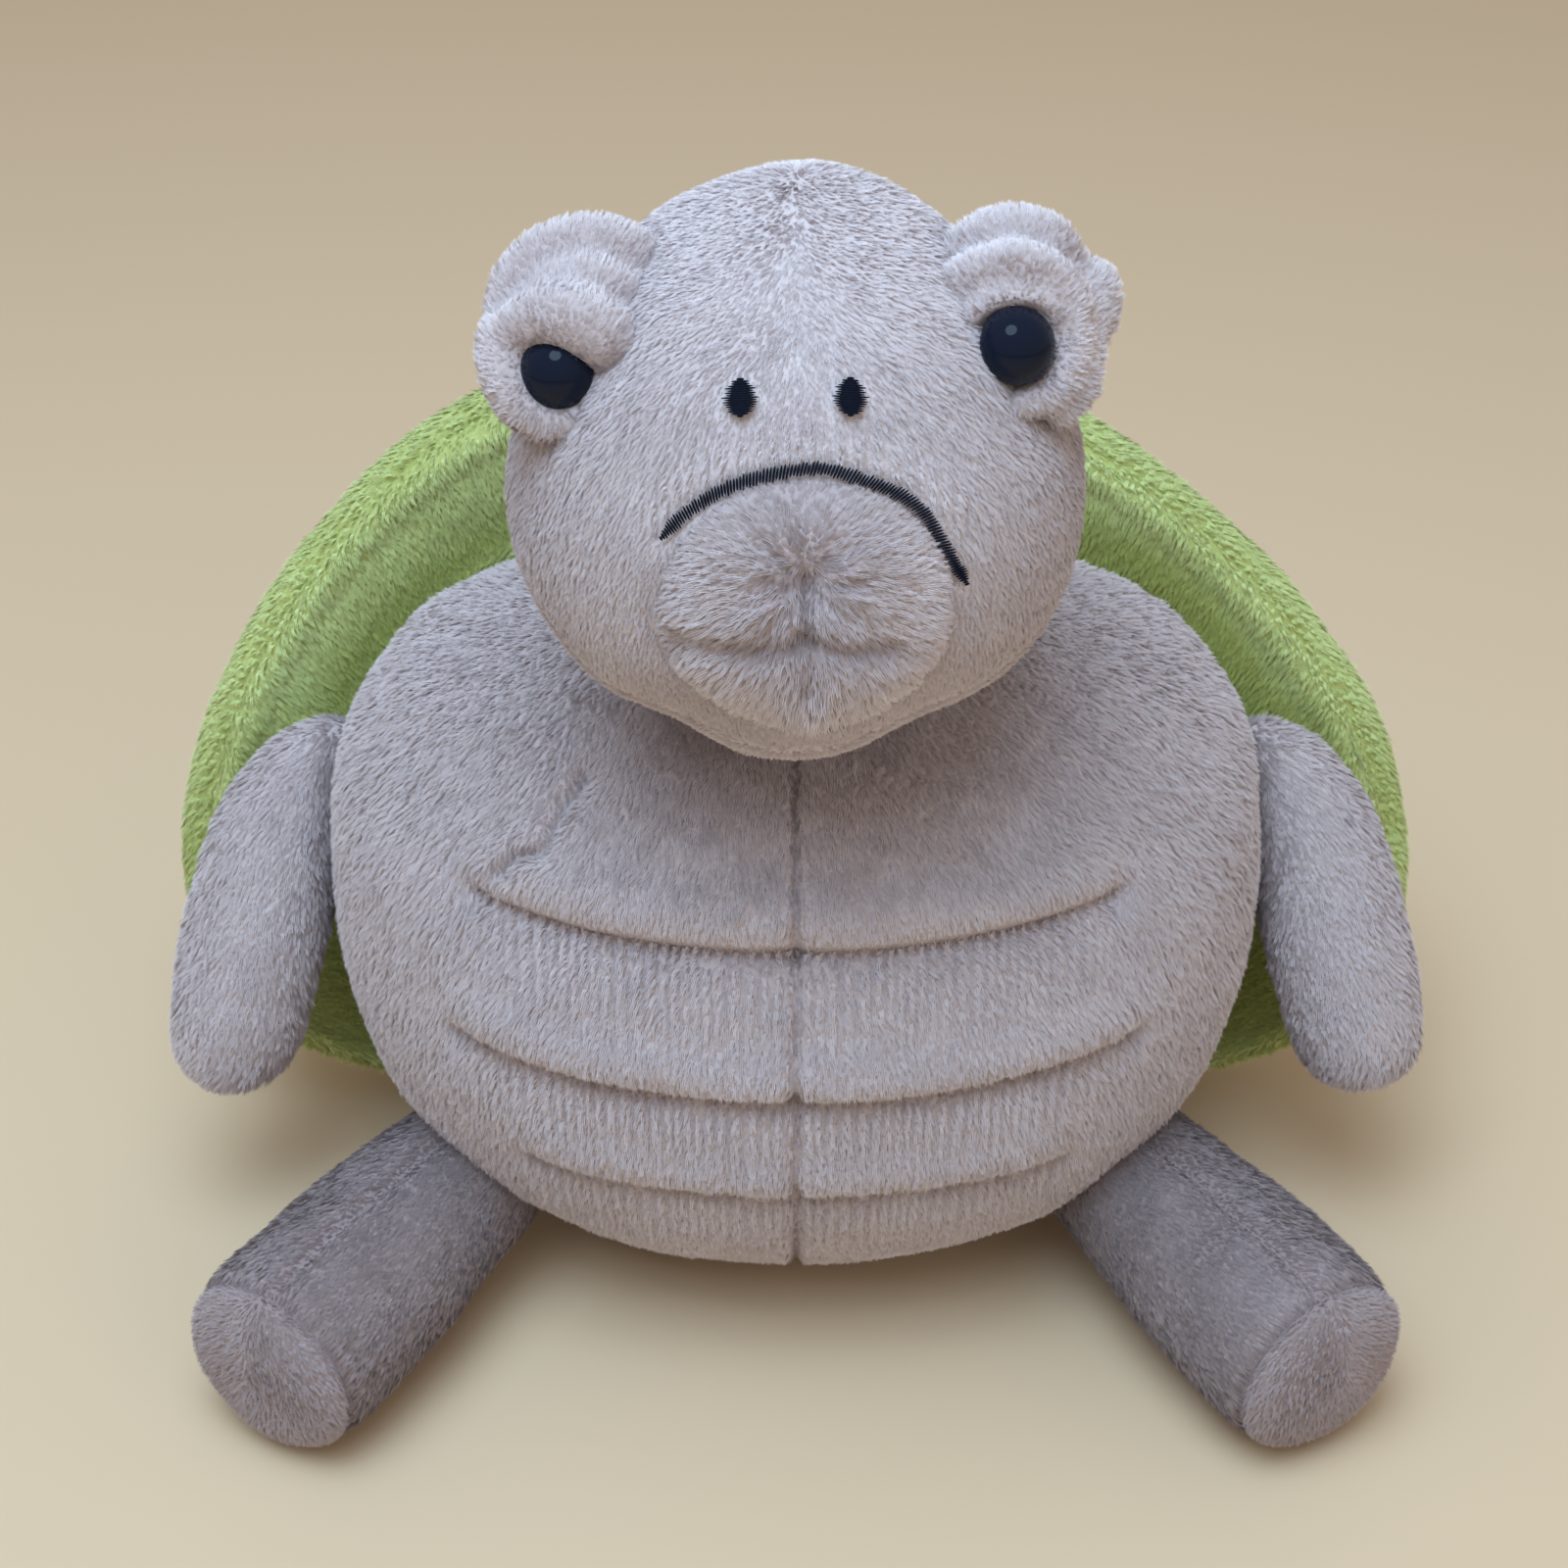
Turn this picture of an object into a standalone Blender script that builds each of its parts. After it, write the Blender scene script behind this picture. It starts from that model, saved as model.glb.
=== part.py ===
"""Seated plush turtle with a padded shell, button eyes and a stitched face.

Metres, +Z up. The toy looks toward -Y, and its own left side lies toward +X.
The origin is on the table, under the flat seat of the body.
"""
import math

import bmesh
import bpy
from mathutils import Matrix, Vector

# Cloth, seams and clearances
FABRIC = 0.0026
GAP = 0.0003
SEAM = 0.0003
SOCKET_CLEARANCE = 0.0004

# Body, an upright egg with a flat seat
BODY_HEIGHT = 0.141
BODY_HALF_WIDTH = 0.0915
BODY_FRONT_DEPTH = 0.078
BODY_BACK_DEPTH = 0.044
SIDE_SEAM_FORWARD = 0.0105
TUCK_DEPTH = 0.0016
TUCK_HALF_HEIGHT = 0.0034

# Shell, a padded dome on the back with a rolled brim
SHELL_HALF_WIDTH = 0.129
SHELL_RISE = 0.110
SHELL_DROP = 0.0545
SHELL_DEPTH = 0.059
SHELL_WAIST_HEIGHT = 0.060
SHELL_WAIST_BACK = 0.014
SHELL_LEAN = math.radians(14)
BRIM_EDGE = 0.007
BRIM_SEAM_DEPTH = 0.004
BRIM_FACE_DEPTH = 0.013

# Neck and head
NECK_SINK = 0.0235
NECK_FORWARD = 0.0105
NECK_LEAN = math.radians(32)
NECK_LENGTH = 0.038
NECK_ROOT_RADIUS = 0.022
NECK_WAIST_RADIUS = 0.0185
NECK_TOP_RADIUS = 0.021
HEAD_HALF_WIDTH = 0.0472
HEAD_HALF_DEPTH = 0.0462
HEAD_HALF_HEIGHT = 0.0482
FACE_SEAM_LEAN = math.radians(43)

# Face
MOUND_HALF_WIDTH = 0.0132
MOUND_HALF_DEPTH = 0.014
MOUND_HALF_HEIGHT = 0.0152
EYELID = 0.0022
EYELID_LIFT = 0.0015
EYE_RADIUS = 0.006
EYE_HEIGHT = 0.0056
EYE_SINK = 0.0022
STEM_RADIUS = 0.0015
STEM_LENGTH = 0.0142
WASHER_RADIUS = 0.0052
WASHER_THICKNESS = 0.0015
NOSTRIL_HALF_WIDTH = 0.0022
NOSTRIL_HALF_HEIGHT = 0.0028
NOSTRIL_RELIEF = 0.0014
MOUTH_THREAD_RADIUS = 0.001
MOUTH_HALF_WIDTH = 0.0208
MOUTH_DROP = 0.0135
LIP_HALF_WIDTH = 0.0238
LIP_HALF_HEIGHT = 0.0218
LIP_HALF_DEPTH = 0.014
LIP_SINK = 0.0085

# Arms
ARM_RADIUS = 0.0136
SHOULDER_RADIUS = 0.0095
SHOULDER_BACK = 0.003
SHOULDER_OUT = 0.0022
SHOULDER_BEND = 0.0105
SHOULDER_TOE_IN = math.radians(14)
ARM_DROP = 0.068
ARM_REACH_FORWARD = 0.026
ARM_SPREAD = 0.0227

# Legs; the room cut for their swing is a little more than they use
LEG_RADIUS = 0.0178
HIP_RADIUS = 0.0138
HIP_HEIGHT = 0.0215
LEG_LENGTH = 0.0755
LEG_SPLAY = math.radians(32)
LEG_SWING = math.radians(14)
FOOT_REST = 0.0004

# Bean pouch inside the seat
POUCH_HALF_WIDTH = 0.044
POUCH_HALF_DEPTH = 0.032
POUCH_HALF_HEIGHT = 0.013
POUCH_LIFT = 0.010
POUCH_FORWARD = 0.010

# Body section by height: height, half width, front and back depth
BODY_SHARES = [
    (0.00, 0.43, 0.42, 0.46),
    (0.03, 0.565, 0.545, 0.60),
    (0.085, 0.70, 0.68, 0.735),
    (0.17, 0.835, 0.815, 0.86),
    (0.28, 0.935, 0.925, 0.95),
    (0.41, 0.99, 0.985, 0.995),
    (0.52, 1.00, 1.00, 1.00),
    (0.64, 0.995, 0.97, 0.98),
    (0.74, 0.97, 0.90, 0.93),
    (0.83, 0.91, 0.79, 0.85),
    (0.90, 0.80, 0.64, 0.73),
    (0.955, 0.61, 0.45, 0.56),
    (0.99, 0.34, 0.24, 0.33),
]
BODY_SECTION_POWER = 2.2

# Heights of the three stitched belly tucks, and how far each spreads round the belly
TUCK_SHARES = [(0.715, 0.62), (0.510, 0.66), (0.333, 0.50)]
TUCK_SMILE_SHARE = 0.028

# Shell section from the middle of its face, round the brim, to the crown of the dome:
# radius as a share of the outline, then depth as a share of the edge or of the dome
BRIM_SHARES = [(0.45, 1.25), (0.72, 0.80), (0.86, 0.06), (0.935, 0.06), (0.985, 0.50)]
DOME_SHARES = [(1.0, 0.0), (0.982, 0.13), (0.90, 0.35), (0.74, 0.60), (0.52, 0.815), (0.27, 0.955)]
BRIM_SEAM_SHARE = 0.95
BRIM_FLOOR_SHARE = 0.82
SHELL_TOP_POWER = 1.83
SHELL_BASE_POWER = 3.3

# Head section by height: width and depth against a plain ellipsoid
HEAD_SHARES = [(-1.0, 0.98, 0.96), (-0.45, 1.015, 1.0), (0.0, 1.0, 1.015), (0.45, 0.955, 1.0),
               (0.8, 0.885, 0.96), (1.0, 0.86, 0.94)]
HEAD_TO_NECK_SHARE = 0.83

# Places on the head, as shares of its half sizes
MOUND_PLACE_SHARES = (0.765, -0.22, 0.585)
EYE_PLACE_SHARES = (0.745, 0.632)
EYE_AIM_SHARES = (0.42, -0.76, 0.50)
NOSTRIL_PLACE_SHARES = (0.163, 0.61)
MOUTH_TOP_SHARE = 0.43
LIP_PLACE_SHARE = -0.04
LID_SLOPE_SHARES = (-0.40, -0.12, 0.90)

# Neck from its root ball through its waist to its top ball
NECK_WAIST_SHARE = 0.5

# Leg from hip to sole: place along the leg, radius
LEG_SHARES = [(0.24, 0.87), (0.52, 0.965), (0.75, 1.0), (0.86, 0.955), (0.935, 0.82), (0.982, 0.53)]
SOLE_SEAM_SHARE = 0.895
HIP_PLACE_SHARES = (0.655, 0.36)

# Arm below its bend, from shoulder to tip: drop, forward reach, spread, radius
ARM_SHARES = [(0.27, 0.34, 0.02, 0.80), (0.50, 0.59, 0.06, 0.95), (0.72, 0.81, 0.31, 1.0),
              (0.86, 0.92, 0.61, 0.885), (0.945, 0.975, 0.90, 0.62), (0.987, 0.995, 0.99, 0.30)]
SHOULDER_HEIGHT_SHARE = 0.715

# Facets round each form
BODY_SIDES = 28
CORE_SIDES = 16
SHELL_SIDES = 28
HEAD_SIDES = 22
LIMB_SIDES = 14

CUT_REACH = 2 * (SHELL_HALF_WIDTH + BODY_HEIGHT)

PLUSH = (0.52, 0.44, 0.42)
PLUSH_SOLE = (0.45, 0.37, 0.34)
SHELL_GREEN = (0.36, 0.45, 0.10)
FILLING = (0.85, 0.84, 0.80)
BEANS = (0.70, 0.68, 0.64)
BLACK_EYE = (0.008, 0.008, 0.010)
BLACK_THREAD = (0.015, 0.018, 0.030)


def clear_scene():
    for item in list(bpy.data.objects):
        bpy.data.objects.remove(item, do_unlink=True)


def add_object(name, mesh):
    item = bpy.data.objects.new(name, mesh)
    bpy.context.scene.collection.objects.link(item)
    return item


def discard(*items):
    for item in items:
        mesh = item.data
        bpy.data.objects.remove(item, do_unlink=True)
        bpy.data.meshes.remove(mesh)


def finish(item, colour, roughness, pivot):
    """Names the material after the piece and hangs the piece from its pivot."""
    material = bpy.data.materials.new(item.name)
    material.use_nodes = True
    shader = material.node_tree.nodes["Principled BSDF"]
    shader.inputs["Base Color"].default_value = (*colour, 1.0)
    shader.inputs["Roughness"].default_value = roughness
    shader.inputs["Metallic"].default_value = 0.0
    item.data.materials.clear()
    item.data.materials.append(material)
    item.data.shade_smooth()
    item.data.set_sharp_from_angle(angle=math.radians(40))
    item.data.transform(Matrix.Translation(-pivot.location))
    item.parent = pivot


def add_pivot(name, place):
    pivot = bpy.data.objects.new(name, None)
    bpy.context.scene.collection.objects.link(pivot)
    pivot.empty_display_size = SHOULDER_RADIUS
    pivot.location = place
    return pivot


def loft(name, rings, start, end):
    """A closed form through rings of points, with a pole at each end."""
    work = bmesh.new()
    loops = [[work.verts.new(point) for point in ring] for ring in rings]
    first = work.verts.new(start)
    last = work.verts.new(end)
    sides = len(loops[0])
    for k in range(sides):
        j = (k + 1) % sides
        work.faces.new((first, loops[0][j], loops[0][k]))
        work.faces.new((last, loops[-1][k], loops[-1][j]))
        for low, high in zip(loops, loops[1:]):
            work.faces.new((low[k], low[j], high[j], high[k]))
    bmesh.ops.recalc_face_normals(work, faces=work.faces[:])
    bmesh.ops.triangulate(work, faces=work.faces[:])
    mesh = bpy.data.meshes.new(name)
    work.to_mesh(mesh)
    work.free()
    return add_object(name, mesh)


def offset(item, distance):
    """Moves every point along its normal."""
    normals = [normal.vector.copy() for normal in item.data.vertex_normals]
    for vertex, normal in zip(item.data.vertices, normals):
        vertex.co += normal * distance
    return item


def copy_of(item, name):
    return add_object(name, item.data.copy())


def combine(item, tool, operation="DIFFERENCE", keep_tool=False):
    modifier = item.modifiers.new(tool.name, "BOOLEAN")
    modifier.operation = operation
    modifier.solver = "EXACT"
    modifier.object = tool
    graph = bpy.context.evaluated_depsgraph_get()
    mesh = bpy.data.meshes.new_from_object(item.evaluated_get(graph))
    item.modifiers.clear()
    old = item.data
    item.data = mesh
    bpy.data.meshes.remove(old)
    if not keep_tool:
        discard(tool)
    return item


def combine_all(item, tools, operation="DIFFERENCE"):
    for tool in tools:
        combine(item, tool, operation, keep_tool=True)
    return item


def half_space(point, toward):
    """A block that fills the side of a plane that the direction points to."""
    work = bmesh.new()
    bmesh.ops.create_cube(work, size=CUT_REACH)
    mesh = bpy.data.meshes.new("half_space")
    work.to_mesh(mesh)
    work.free()
    aim = Vector(toward).normalized()
    turn = aim.to_track_quat("Z", "Y").to_matrix().to_4x4()
    centre = Vector(point) + aim * (CUT_REACH / 2)
    mesh.transform(Matrix.Translation(centre) @ turn)
    return add_object("half_space", mesh)


def keep_side(item, point, toward):
    """Keeps what lies beyond half a seam from a plane, on the side that is pointed to."""
    aim = Vector(toward).normalized()
    return combine(item, half_space(Vector(point) + aim * (SEAM / 2), aim), "INTERSECT")


def ellipsoid(name, centre, half_sizes, segments=12, rows=8):
    work = bmesh.new()
    bmesh.ops.create_uvsphere(work, u_segments=segments, v_segments=rows, radius=1.0)
    bmesh.ops.triangulate(work, faces=work.faces[:])
    mesh = bpy.data.meshes.new(name)
    work.to_mesh(mesh)
    work.free()
    mesh.transform(Matrix.Translation(centre) @ Matrix.Diagonal((*half_sizes, 1.0)))
    return add_object(name, mesh)


def turned(name, origin, axis, profile, sides):
    """A form turned round an axis from points of height and radius, with a pole at each end."""
    turn = Vector(axis).normalized().to_track_quat("Z", "Y").to_matrix().to_4x4()
    place = Matrix.Translation(origin) @ turn
    rings = []
    for height, radius in profile[1:-1]:
        ring = []
        for k in range(sides):
            angle = math.tau * (k + 0.5) / sides
            ring.append(place @ Vector((radius * math.cos(angle), radius * math.sin(angle), height)))
        rings.append(ring)
    start = place @ Vector((0, 0, profile[0][0]))
    end = place @ Vector((0, 0, profile[-1][0]))
    return loft(name, rings, start, end)


def arc_profile(centre, radius, start_degrees, end_degrees, steps):
    """Height and radius along a round end, with angles from its pole toward +height."""
    points = []
    for k in range(steps + 1):
        angle = math.radians(start_degrees + (end_degrees - start_degrees) * k / steps)
        points.append((centre - radius * math.cos(angle), radius * math.sin(angle)))
    return points


def smooth_lookup(table, key):
    """Reads a table by its first column along a smooth curve through its rows."""
    if key <= table[0][0]:
        return table[0][1:]
    if key >= table[-1][0]:
        return table[-1][1:]
    row = 0
    while table[row + 1][0] < key:
        row += 1
    low, high = table[row], table[row + 1]
    before = table[max(row - 1, 0)]
    after = table[min(row + 2, len(table) - 1)]
    span = high[0] - low[0]
    t = (key - low[0]) / span
    values = []
    for a, b, c, d in zip(before[1:], low[1:], high[1:], after[1:]):
        rise_low = (c - a) / max(high[0] - before[0], span) * span
        rise_high = (d - b) / max(after[0] - low[0], span) * span
        values.append((2 * t**3 - 3 * t**2 + 1) * b + (t**3 - 2 * t**2 + t) * rise_low
                      + (3 * t**2 - 2 * t**3) * c + (t**3 - t**2) * rise_high)
    return values


def signed_power(value, power):
    return math.copysign(abs(value) ** power, value)


def body_point(height, angle, tucked):
    """A point of the body's surface, with its belly drawn in along the tucks."""
    width, front, back = smooth_lookup(BODY_SHARES, height / BODY_HEIGHT)
    across = signed_power(math.cos(angle), 2 / BODY_SECTION_POWER)
    along = signed_power(math.sin(angle), 2 / BODY_SECTION_POWER)
    depth = BODY_FRONT_DEPTH * front if along < 0 else BODY_BACK_DEPTH * back
    point = Vector((BODY_HALF_WIDTH * width * across, depth * along, height))
    if not tucked or along >= 0:
        return point
    pull = 0.0
    for level, spread in TUCK_SHARES:
        line = BODY_HEIGHT * (level + TUCK_SMILE_SHARE * across**2)
        away = (height - line) / TUCK_HALF_HEIGHT
        fade = max(0.0, 1 - (abs(across) / spread) ** 4)
        pull += math.exp(-away**2) * fade
    inward = Vector((-point.x, -point.y, 0)).normalized()
    return point + inward * (TUCK_DEPTH * pull)


def body_form(name, sides, heights, tucked=False):
    rings = []
    for height in heights:
        ring = []
        for k in range(sides):
            angle = math.tau * (k + 0.5) / sides
            point = body_point(height, angle, False)
            if tucked and point.y < 0:
                lift = BODY_HEIGHT * TUCK_SMILE_SHARE * (point.x / BODY_HALF_WIDTH)**2
                point = body_point(min(height + lift * bool(height), heights[-1]), angle, True)
            ring.append(point)
        rings.append(ring)
    return loft(name, rings, (0, 0, 0), (0, 0, BODY_HEIGHT))


def body_heights():
    plain = [BODY_HEIGHT * row[0] for row in BODY_SHARES]
    tucks = []
    for level, _ in TUCK_SHARES:
        line = BODY_HEIGHT * level
        tucks += [line - TUCK_HALF_HEIGHT, line, line + TUCK_HALF_HEIGHT]
    clear = TUCK_HALF_HEIGHT * 2.2
    kept = [h for h in plain if all(abs(h - tuck) > clear for tuck in tucks[1::3])]
    return sorted(kept + tucks)


def shell_place(across, up, depth):
    """A point on the leaning shell: sideways, up along its face, and back into its dome."""
    lean_up = Vector((0, math.sin(SHELL_LEAN), math.cos(SHELL_LEAN)))
    lean_back = Vector((0, math.cos(SHELL_LEAN), -math.sin(SHELL_LEAN)))
    point = Vector((across, SHELL_WAIST_BACK, SHELL_WAIST_HEIGHT)) + lean_up * up + lean_back * depth
    point.z = max(point.z, 0)
    return point


def shell_outline(angle):
    """The shell's outline, broad and square below, drawn in to a rounded top."""
    top = math.sin(angle) >= 0
    power = 2 / (SHELL_TOP_POWER if top else SHELL_BASE_POWER)
    across = SHELL_HALF_WIDTH * signed_power(math.cos(angle), power)
    up = (SHELL_RISE if top else SHELL_DROP) * signed_power(math.sin(angle), power)
    return across, up


def shell_form(name, sides, brim, dome):
    outline = [shell_outline(math.tau * (k + 0.5) / sides) for k in range(sides)]
    rings = []
    for radius, depth in brim:
        rings.append([shell_place(x * radius, y * radius, BRIM_EDGE * depth) for x, y in outline])
    reach = SHELL_DEPTH - BRIM_EDGE
    for radius, depth in dome:
        rings.append([shell_place(x * radius, y * radius, BRIM_EDGE + reach * depth) for x, y in outline])
    middle = shell_place(0, 0, BRIM_EDGE * brim[0][1])
    return loft(name, rings, middle, shell_place(0, 0, SHELL_DEPTH))


def neck_axis():
    return Vector((0, -math.sin(NECK_LEAN), math.cos(NECK_LEAN)))


def neck_root():
    return Vector((0, -NECK_FORWARD, BODY_HEIGHT - NECK_SINK))


def neck_top():
    return neck_root() + neck_axis() * NECK_LENGTH


def neck_form(name, extra, turning=False):
    """The neck, or its room, which is widened so that its flats clear the neck's corners as it turns."""
    spare = 1 / math.cos(math.pi / CORE_SIDES) if turning else 1
    root, waist, top = [spare * (radius + extra) for radius in
                        (NECK_ROOT_RADIUS, NECK_WAIST_RADIUS, NECK_TOP_RADIUS)]
    profile = arc_profile(0, root, 0, 110, 4)
    profile.append((NECK_LENGTH * NECK_WAIST_SHARE, waist))
    profile += [(2 * NECK_LENGTH - h, r) for h, r in reversed(arc_profile(NECK_LENGTH, top, 0, 105, 4))]
    return turned(name, neck_root(), neck_axis(), profile, CORE_SIDES)


def head_centre():
    return neck_top() + neck_axis() * (HEAD_HALF_HEIGHT * HEAD_TO_NECK_SHARE)


def head_section(height):
    """Half width and half depth of the head at a height share between -1 and 1."""
    width, depth = smooth_lookup(HEAD_SHARES, height)
    round_off = math.sqrt(max(0.0, 1 - height**2))
    return HEAD_HALF_WIDTH * width * round_off, HEAD_HALF_DEPTH * depth * round_off


def head_point(across, height):
    """The front of the head's surface, from shares of its half width and half height."""
    width, depth = head_section(height)
    x = across * HEAD_HALF_WIDTH
    y = -depth * math.sqrt(max(0.0, 1 - (x / width)**2))
    return head_centre() + Vector((x, y, height * HEAD_HALF_HEIGHT))


def head_normal(across, height):
    point = head_point(across, height) - head_centre()
    return Vector((point.x / HEAD_HALF_WIDTH**2, point.y / HEAD_HALF_DEPTH**2,
                   point.z / HEAD_HALF_HEIGHT**2)).normalized()


def head_form(name, sides, rows):
    rings = []
    for row in range(1, rows):
        height = -math.cos(math.pi * row / rows)
        width, depth = head_section(height)
        ring = []
        for k in range(sides):
            angle = math.tau * (k + 0.5) / sides
            place = Vector((width * math.cos(angle), depth * math.sin(angle), height * HEAD_HALF_HEIGHT))
            ring.append(head_centre() + place)
        rings.append(ring)
    down = Vector((0, 0, HEAD_HALF_HEIGHT))
    return loft(name, rings, head_centre() - down, head_centre() + down)


def tube(name, centres, radii, sides):
    """A closed tube along a bent path; its first and last points are poles."""
    points = [Vector(point) for point in centres]
    rings = []
    across = Vector((0, 1, 0))
    for k in range(1, len(points) - 1):
        tangent = (points[k + 1] - points[k - 1]).normalized()
        across = (across - tangent * across.dot(tangent)).normalized()
        other = tangent.cross(across)
        ring = []
        for j in range(sides):
            angle = math.tau * (j + 0.5) / sides
            ring.append(points[k] + (across * math.cos(angle) + other * math.sin(angle)) * radii[k])
        rings.append(ring)
    return loft(name, rings, points[0], points[-1])


def body_side(height):
    """Half width of the body at a height."""
    return BODY_HALF_WIDTH * smooth_lookup(BODY_SHARES, height / BODY_HEIGHT)[0]


def shoulder(side):
    height = BODY_HEIGHT * SHOULDER_HEIGHT_SHARE
    return Vector((side * (body_side(height) + SHOULDER_OUT), SHOULDER_BACK, height))


def arm_path(side):
    """Centres and radii of the arm: a round root, a bend, and then down along the body."""
    start = shoulder(side)
    out = Vector((side * math.cos(SHOULDER_TOE_IN), -math.sin(SHOULDER_TOE_IN), 0))
    root = arc_profile(0, SHOULDER_RADIUS, 0, 90, 3)
    centres = [start + out * height for height, _ in root]
    radii = [radius for _, radius in root]
    for bend in (36, 72):
        turn = math.radians(bend)
        along = out * (SHOULDER_BEND * math.sin(turn))
        centres.append(start + along - Vector((0, 0, SHOULDER_BEND * (1 - math.cos(turn)))))
        radii.append(SHOULDER_RADIUS)
    for drop, forward, spread, radius in ARM_SHARES:
        height = start.z - ARM_DROP * drop
        thick = ARM_RADIUS * radius
        beside = body_side(height) + max(thick, SHOULDER_RADIUS) + GAP + ARM_SPREAD * spread
        centres.append(Vector((side * beside, start.y - ARM_REACH_FORWARD * forward, height)))
        radii.append(thick)
    tip = Vector((centres[-1].x, start.y - ARM_REACH_FORWARD, start.z - ARM_DROP))
    return centres + [tip], radii + [0]


def hip(side):
    across, forward = HIP_PLACE_SHARES
    return Vector((side * BODY_HALF_WIDTH * across, -BODY_FRONT_DEPTH * forward, HIP_HEIGHT))


def leg_axis(side):
    """From the hip outward and forward, dropping so that the foot rests on the table."""
    thickest = max(LEG_SHARES, key=lambda row: row[1])[0]
    drop = (HIP_HEIGHT - LEG_RADIUS - FOOT_REST) / (LEG_LENGTH * thickest)
    return Vector((side * math.sin(LEG_SPLAY), -math.cos(LEG_SPLAY), -drop)).normalized()


def leg_profile(extra):
    profile = arc_profile(0, HIP_RADIUS + extra, 0, 90, 3)
    profile += [(LEG_LENGTH * along, LEG_RADIUS * radius + extra) for along, radius in LEG_SHARES]
    profile.append((LEG_LENGTH + extra, 0))
    return profile


def leg_clearance(side):
    """The leg's room in the body: as high as the leg, and wider by its swing."""
    axis = leg_axis(side)
    sideways = axis.cross(Vector((0, 0, 1))).normalized()
    upward = sideways.cross(axis)
    rings = []
    profile = leg_profile(SOCKET_CLEARANCE)
    swing = math.sin(LEG_SWING)
    for along, thick in profile[1:-1]:
        radius = thick / math.cos(math.pi / LIMB_SIDES)
        wide = radius + max(0, along + radius * swing) * swing
        ring = []
        for k in range(LIMB_SIDES):
            angle = math.tau * (k + 0.5) / LIMB_SIDES
            ring.append(hip(side) + axis * along + sideways * (wide * math.cos(angle))
                        + upward * (radius * math.sin(angle)))
        rings.append(ring)
    start = hip(side) + axis * profile[0][0]
    end = hip(side) + axis * profile[-1][0]
    return loft("leg_clearance", rings, start, end)


def build_body(pivot):
    heights = body_heights()
    outer = body_form("body_outer", BODY_SIDES, heights, tucked=True)
    core_heights = [BODY_HEIGHT * row[0] for row in BODY_SHARES if row[0] != BODY_SHARES[1][0]]
    inner = offset(body_form("body_inner", CORE_SIDES, core_heights), -FABRIC)
    filling = offset(body_form("body_stuffing", CORE_SIDES, core_heights), -FABRIC - GAP)
    room = [neck_form("neck_room", SOCKET_CLEARANCE, turning=True)]
    for side in (1, -1):
        room.append(ellipsoid("shoulder_room", shoulder(side), (SHOULDER_RADIUS + 2 * SOCKET_CLEARANCE,) * 3))
        room.append(leg_clearance(side))
    skin = combine(outer, inner)
    combine_all(skin, room)
    combine_all(filling, room)
    discard(*room)

    seam = Vector((0, -SIDE_SEAM_FORWARD, 0))
    front = keep_side(copy_of(skin, "belly"), seam, (0, -1, 0))
    for side, name in ((1, "belly_panel_left"), (-1, "belly_panel_right")):
        panel = keep_side(copy_of(front, name), (0, 0, 0), (side, 0, 0))
        finish(panel, PLUSH, 0.9, pivot)
    back = keep_side(copy_of(skin, "back_panel"), seam, (0, 1, 0))
    finish(back, PLUSH, 0.9, pivot)
    discard(front, skin)

    place = Vector((0, -POUCH_FORWARD, POUCH_LIFT))
    sizes = Vector((POUCH_HALF_WIDTH, POUCH_HALF_DEPTH, POUCH_HALF_HEIGHT))
    pouch = ellipsoid("bean_pouch", place, sizes)
    recess = ellipsoid("pouch_recess", place, sizes + Vector((GAP, GAP, GAP)))
    combine(pouch, filling, "INTERSECT", keep_tool=True)
    combine(filling, recess)
    finish(pouch, BEANS, 0.8, pivot)
    finish(filling, FILLING, 0.95, pivot)


def build_shell(pivot):
    outer = shell_form("shell_outer", SHELL_SIDES, BRIM_SHARES, DOME_SHARES)
    core_dome = DOME_SHARES[::2] + DOME_SHARES[-1:]
    inner = offset(shell_form("shell_inner", HEAD_SIDES, BRIM_SHARES[::2], core_dome), -FABRIC)
    filling = offset(shell_form("shell_stuffing", HEAD_SIDES, BRIM_SHARES[::2], core_dome), -FABRIC - GAP)
    body = offset(body_form("body_room", BODY_SIDES, body_heights(), tucked=True), GAP)
    skin = combine(outer, inner)
    combine(skin, body, keep_tool=True)
    combine(filling, body)

    outline = [shell_outline(math.tau * (k + 0.5) / SHELL_SIDES) for k in range(SHELL_SIDES)]
    rings = []
    for depth, share in ((-BRIM_FACE_DEPTH, 1), (BRIM_SEAM_DEPTH, 1), (BRIM_FACE_DEPTH, BRIM_FLOOR_SHARE)):
        reach = BRIM_SEAM_SHARE * share
        rings.append([shell_place(x * reach, y * reach, depth) for x, y in outline])
    face = loft("brim_face", rings, shell_place(0, 0, -BRIM_FACE_DEPTH), shell_place(0, 0, BRIM_FACE_DEPTH))
    face_room = offset(copy_of(face, "brim_room"), SEAM)
    brim = combine(copy_of(skin, "shell_brim"), face, "INTERSECT")
    dome = combine(skin, face_room)
    for side, name in ((1, "shell_dome_left"), (-1, "shell_dome_right")):
        half = keep_side(copy_of(dome, name), (0, 0, 0), (side, 0, 0))
        finish(half, SHELL_GREEN, 0.9, pivot)
    discard(dome)
    finish(brim, SHELL_GREEN, 0.9, pivot)
    finish(filling, FILLING, 0.95, pivot)


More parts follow.
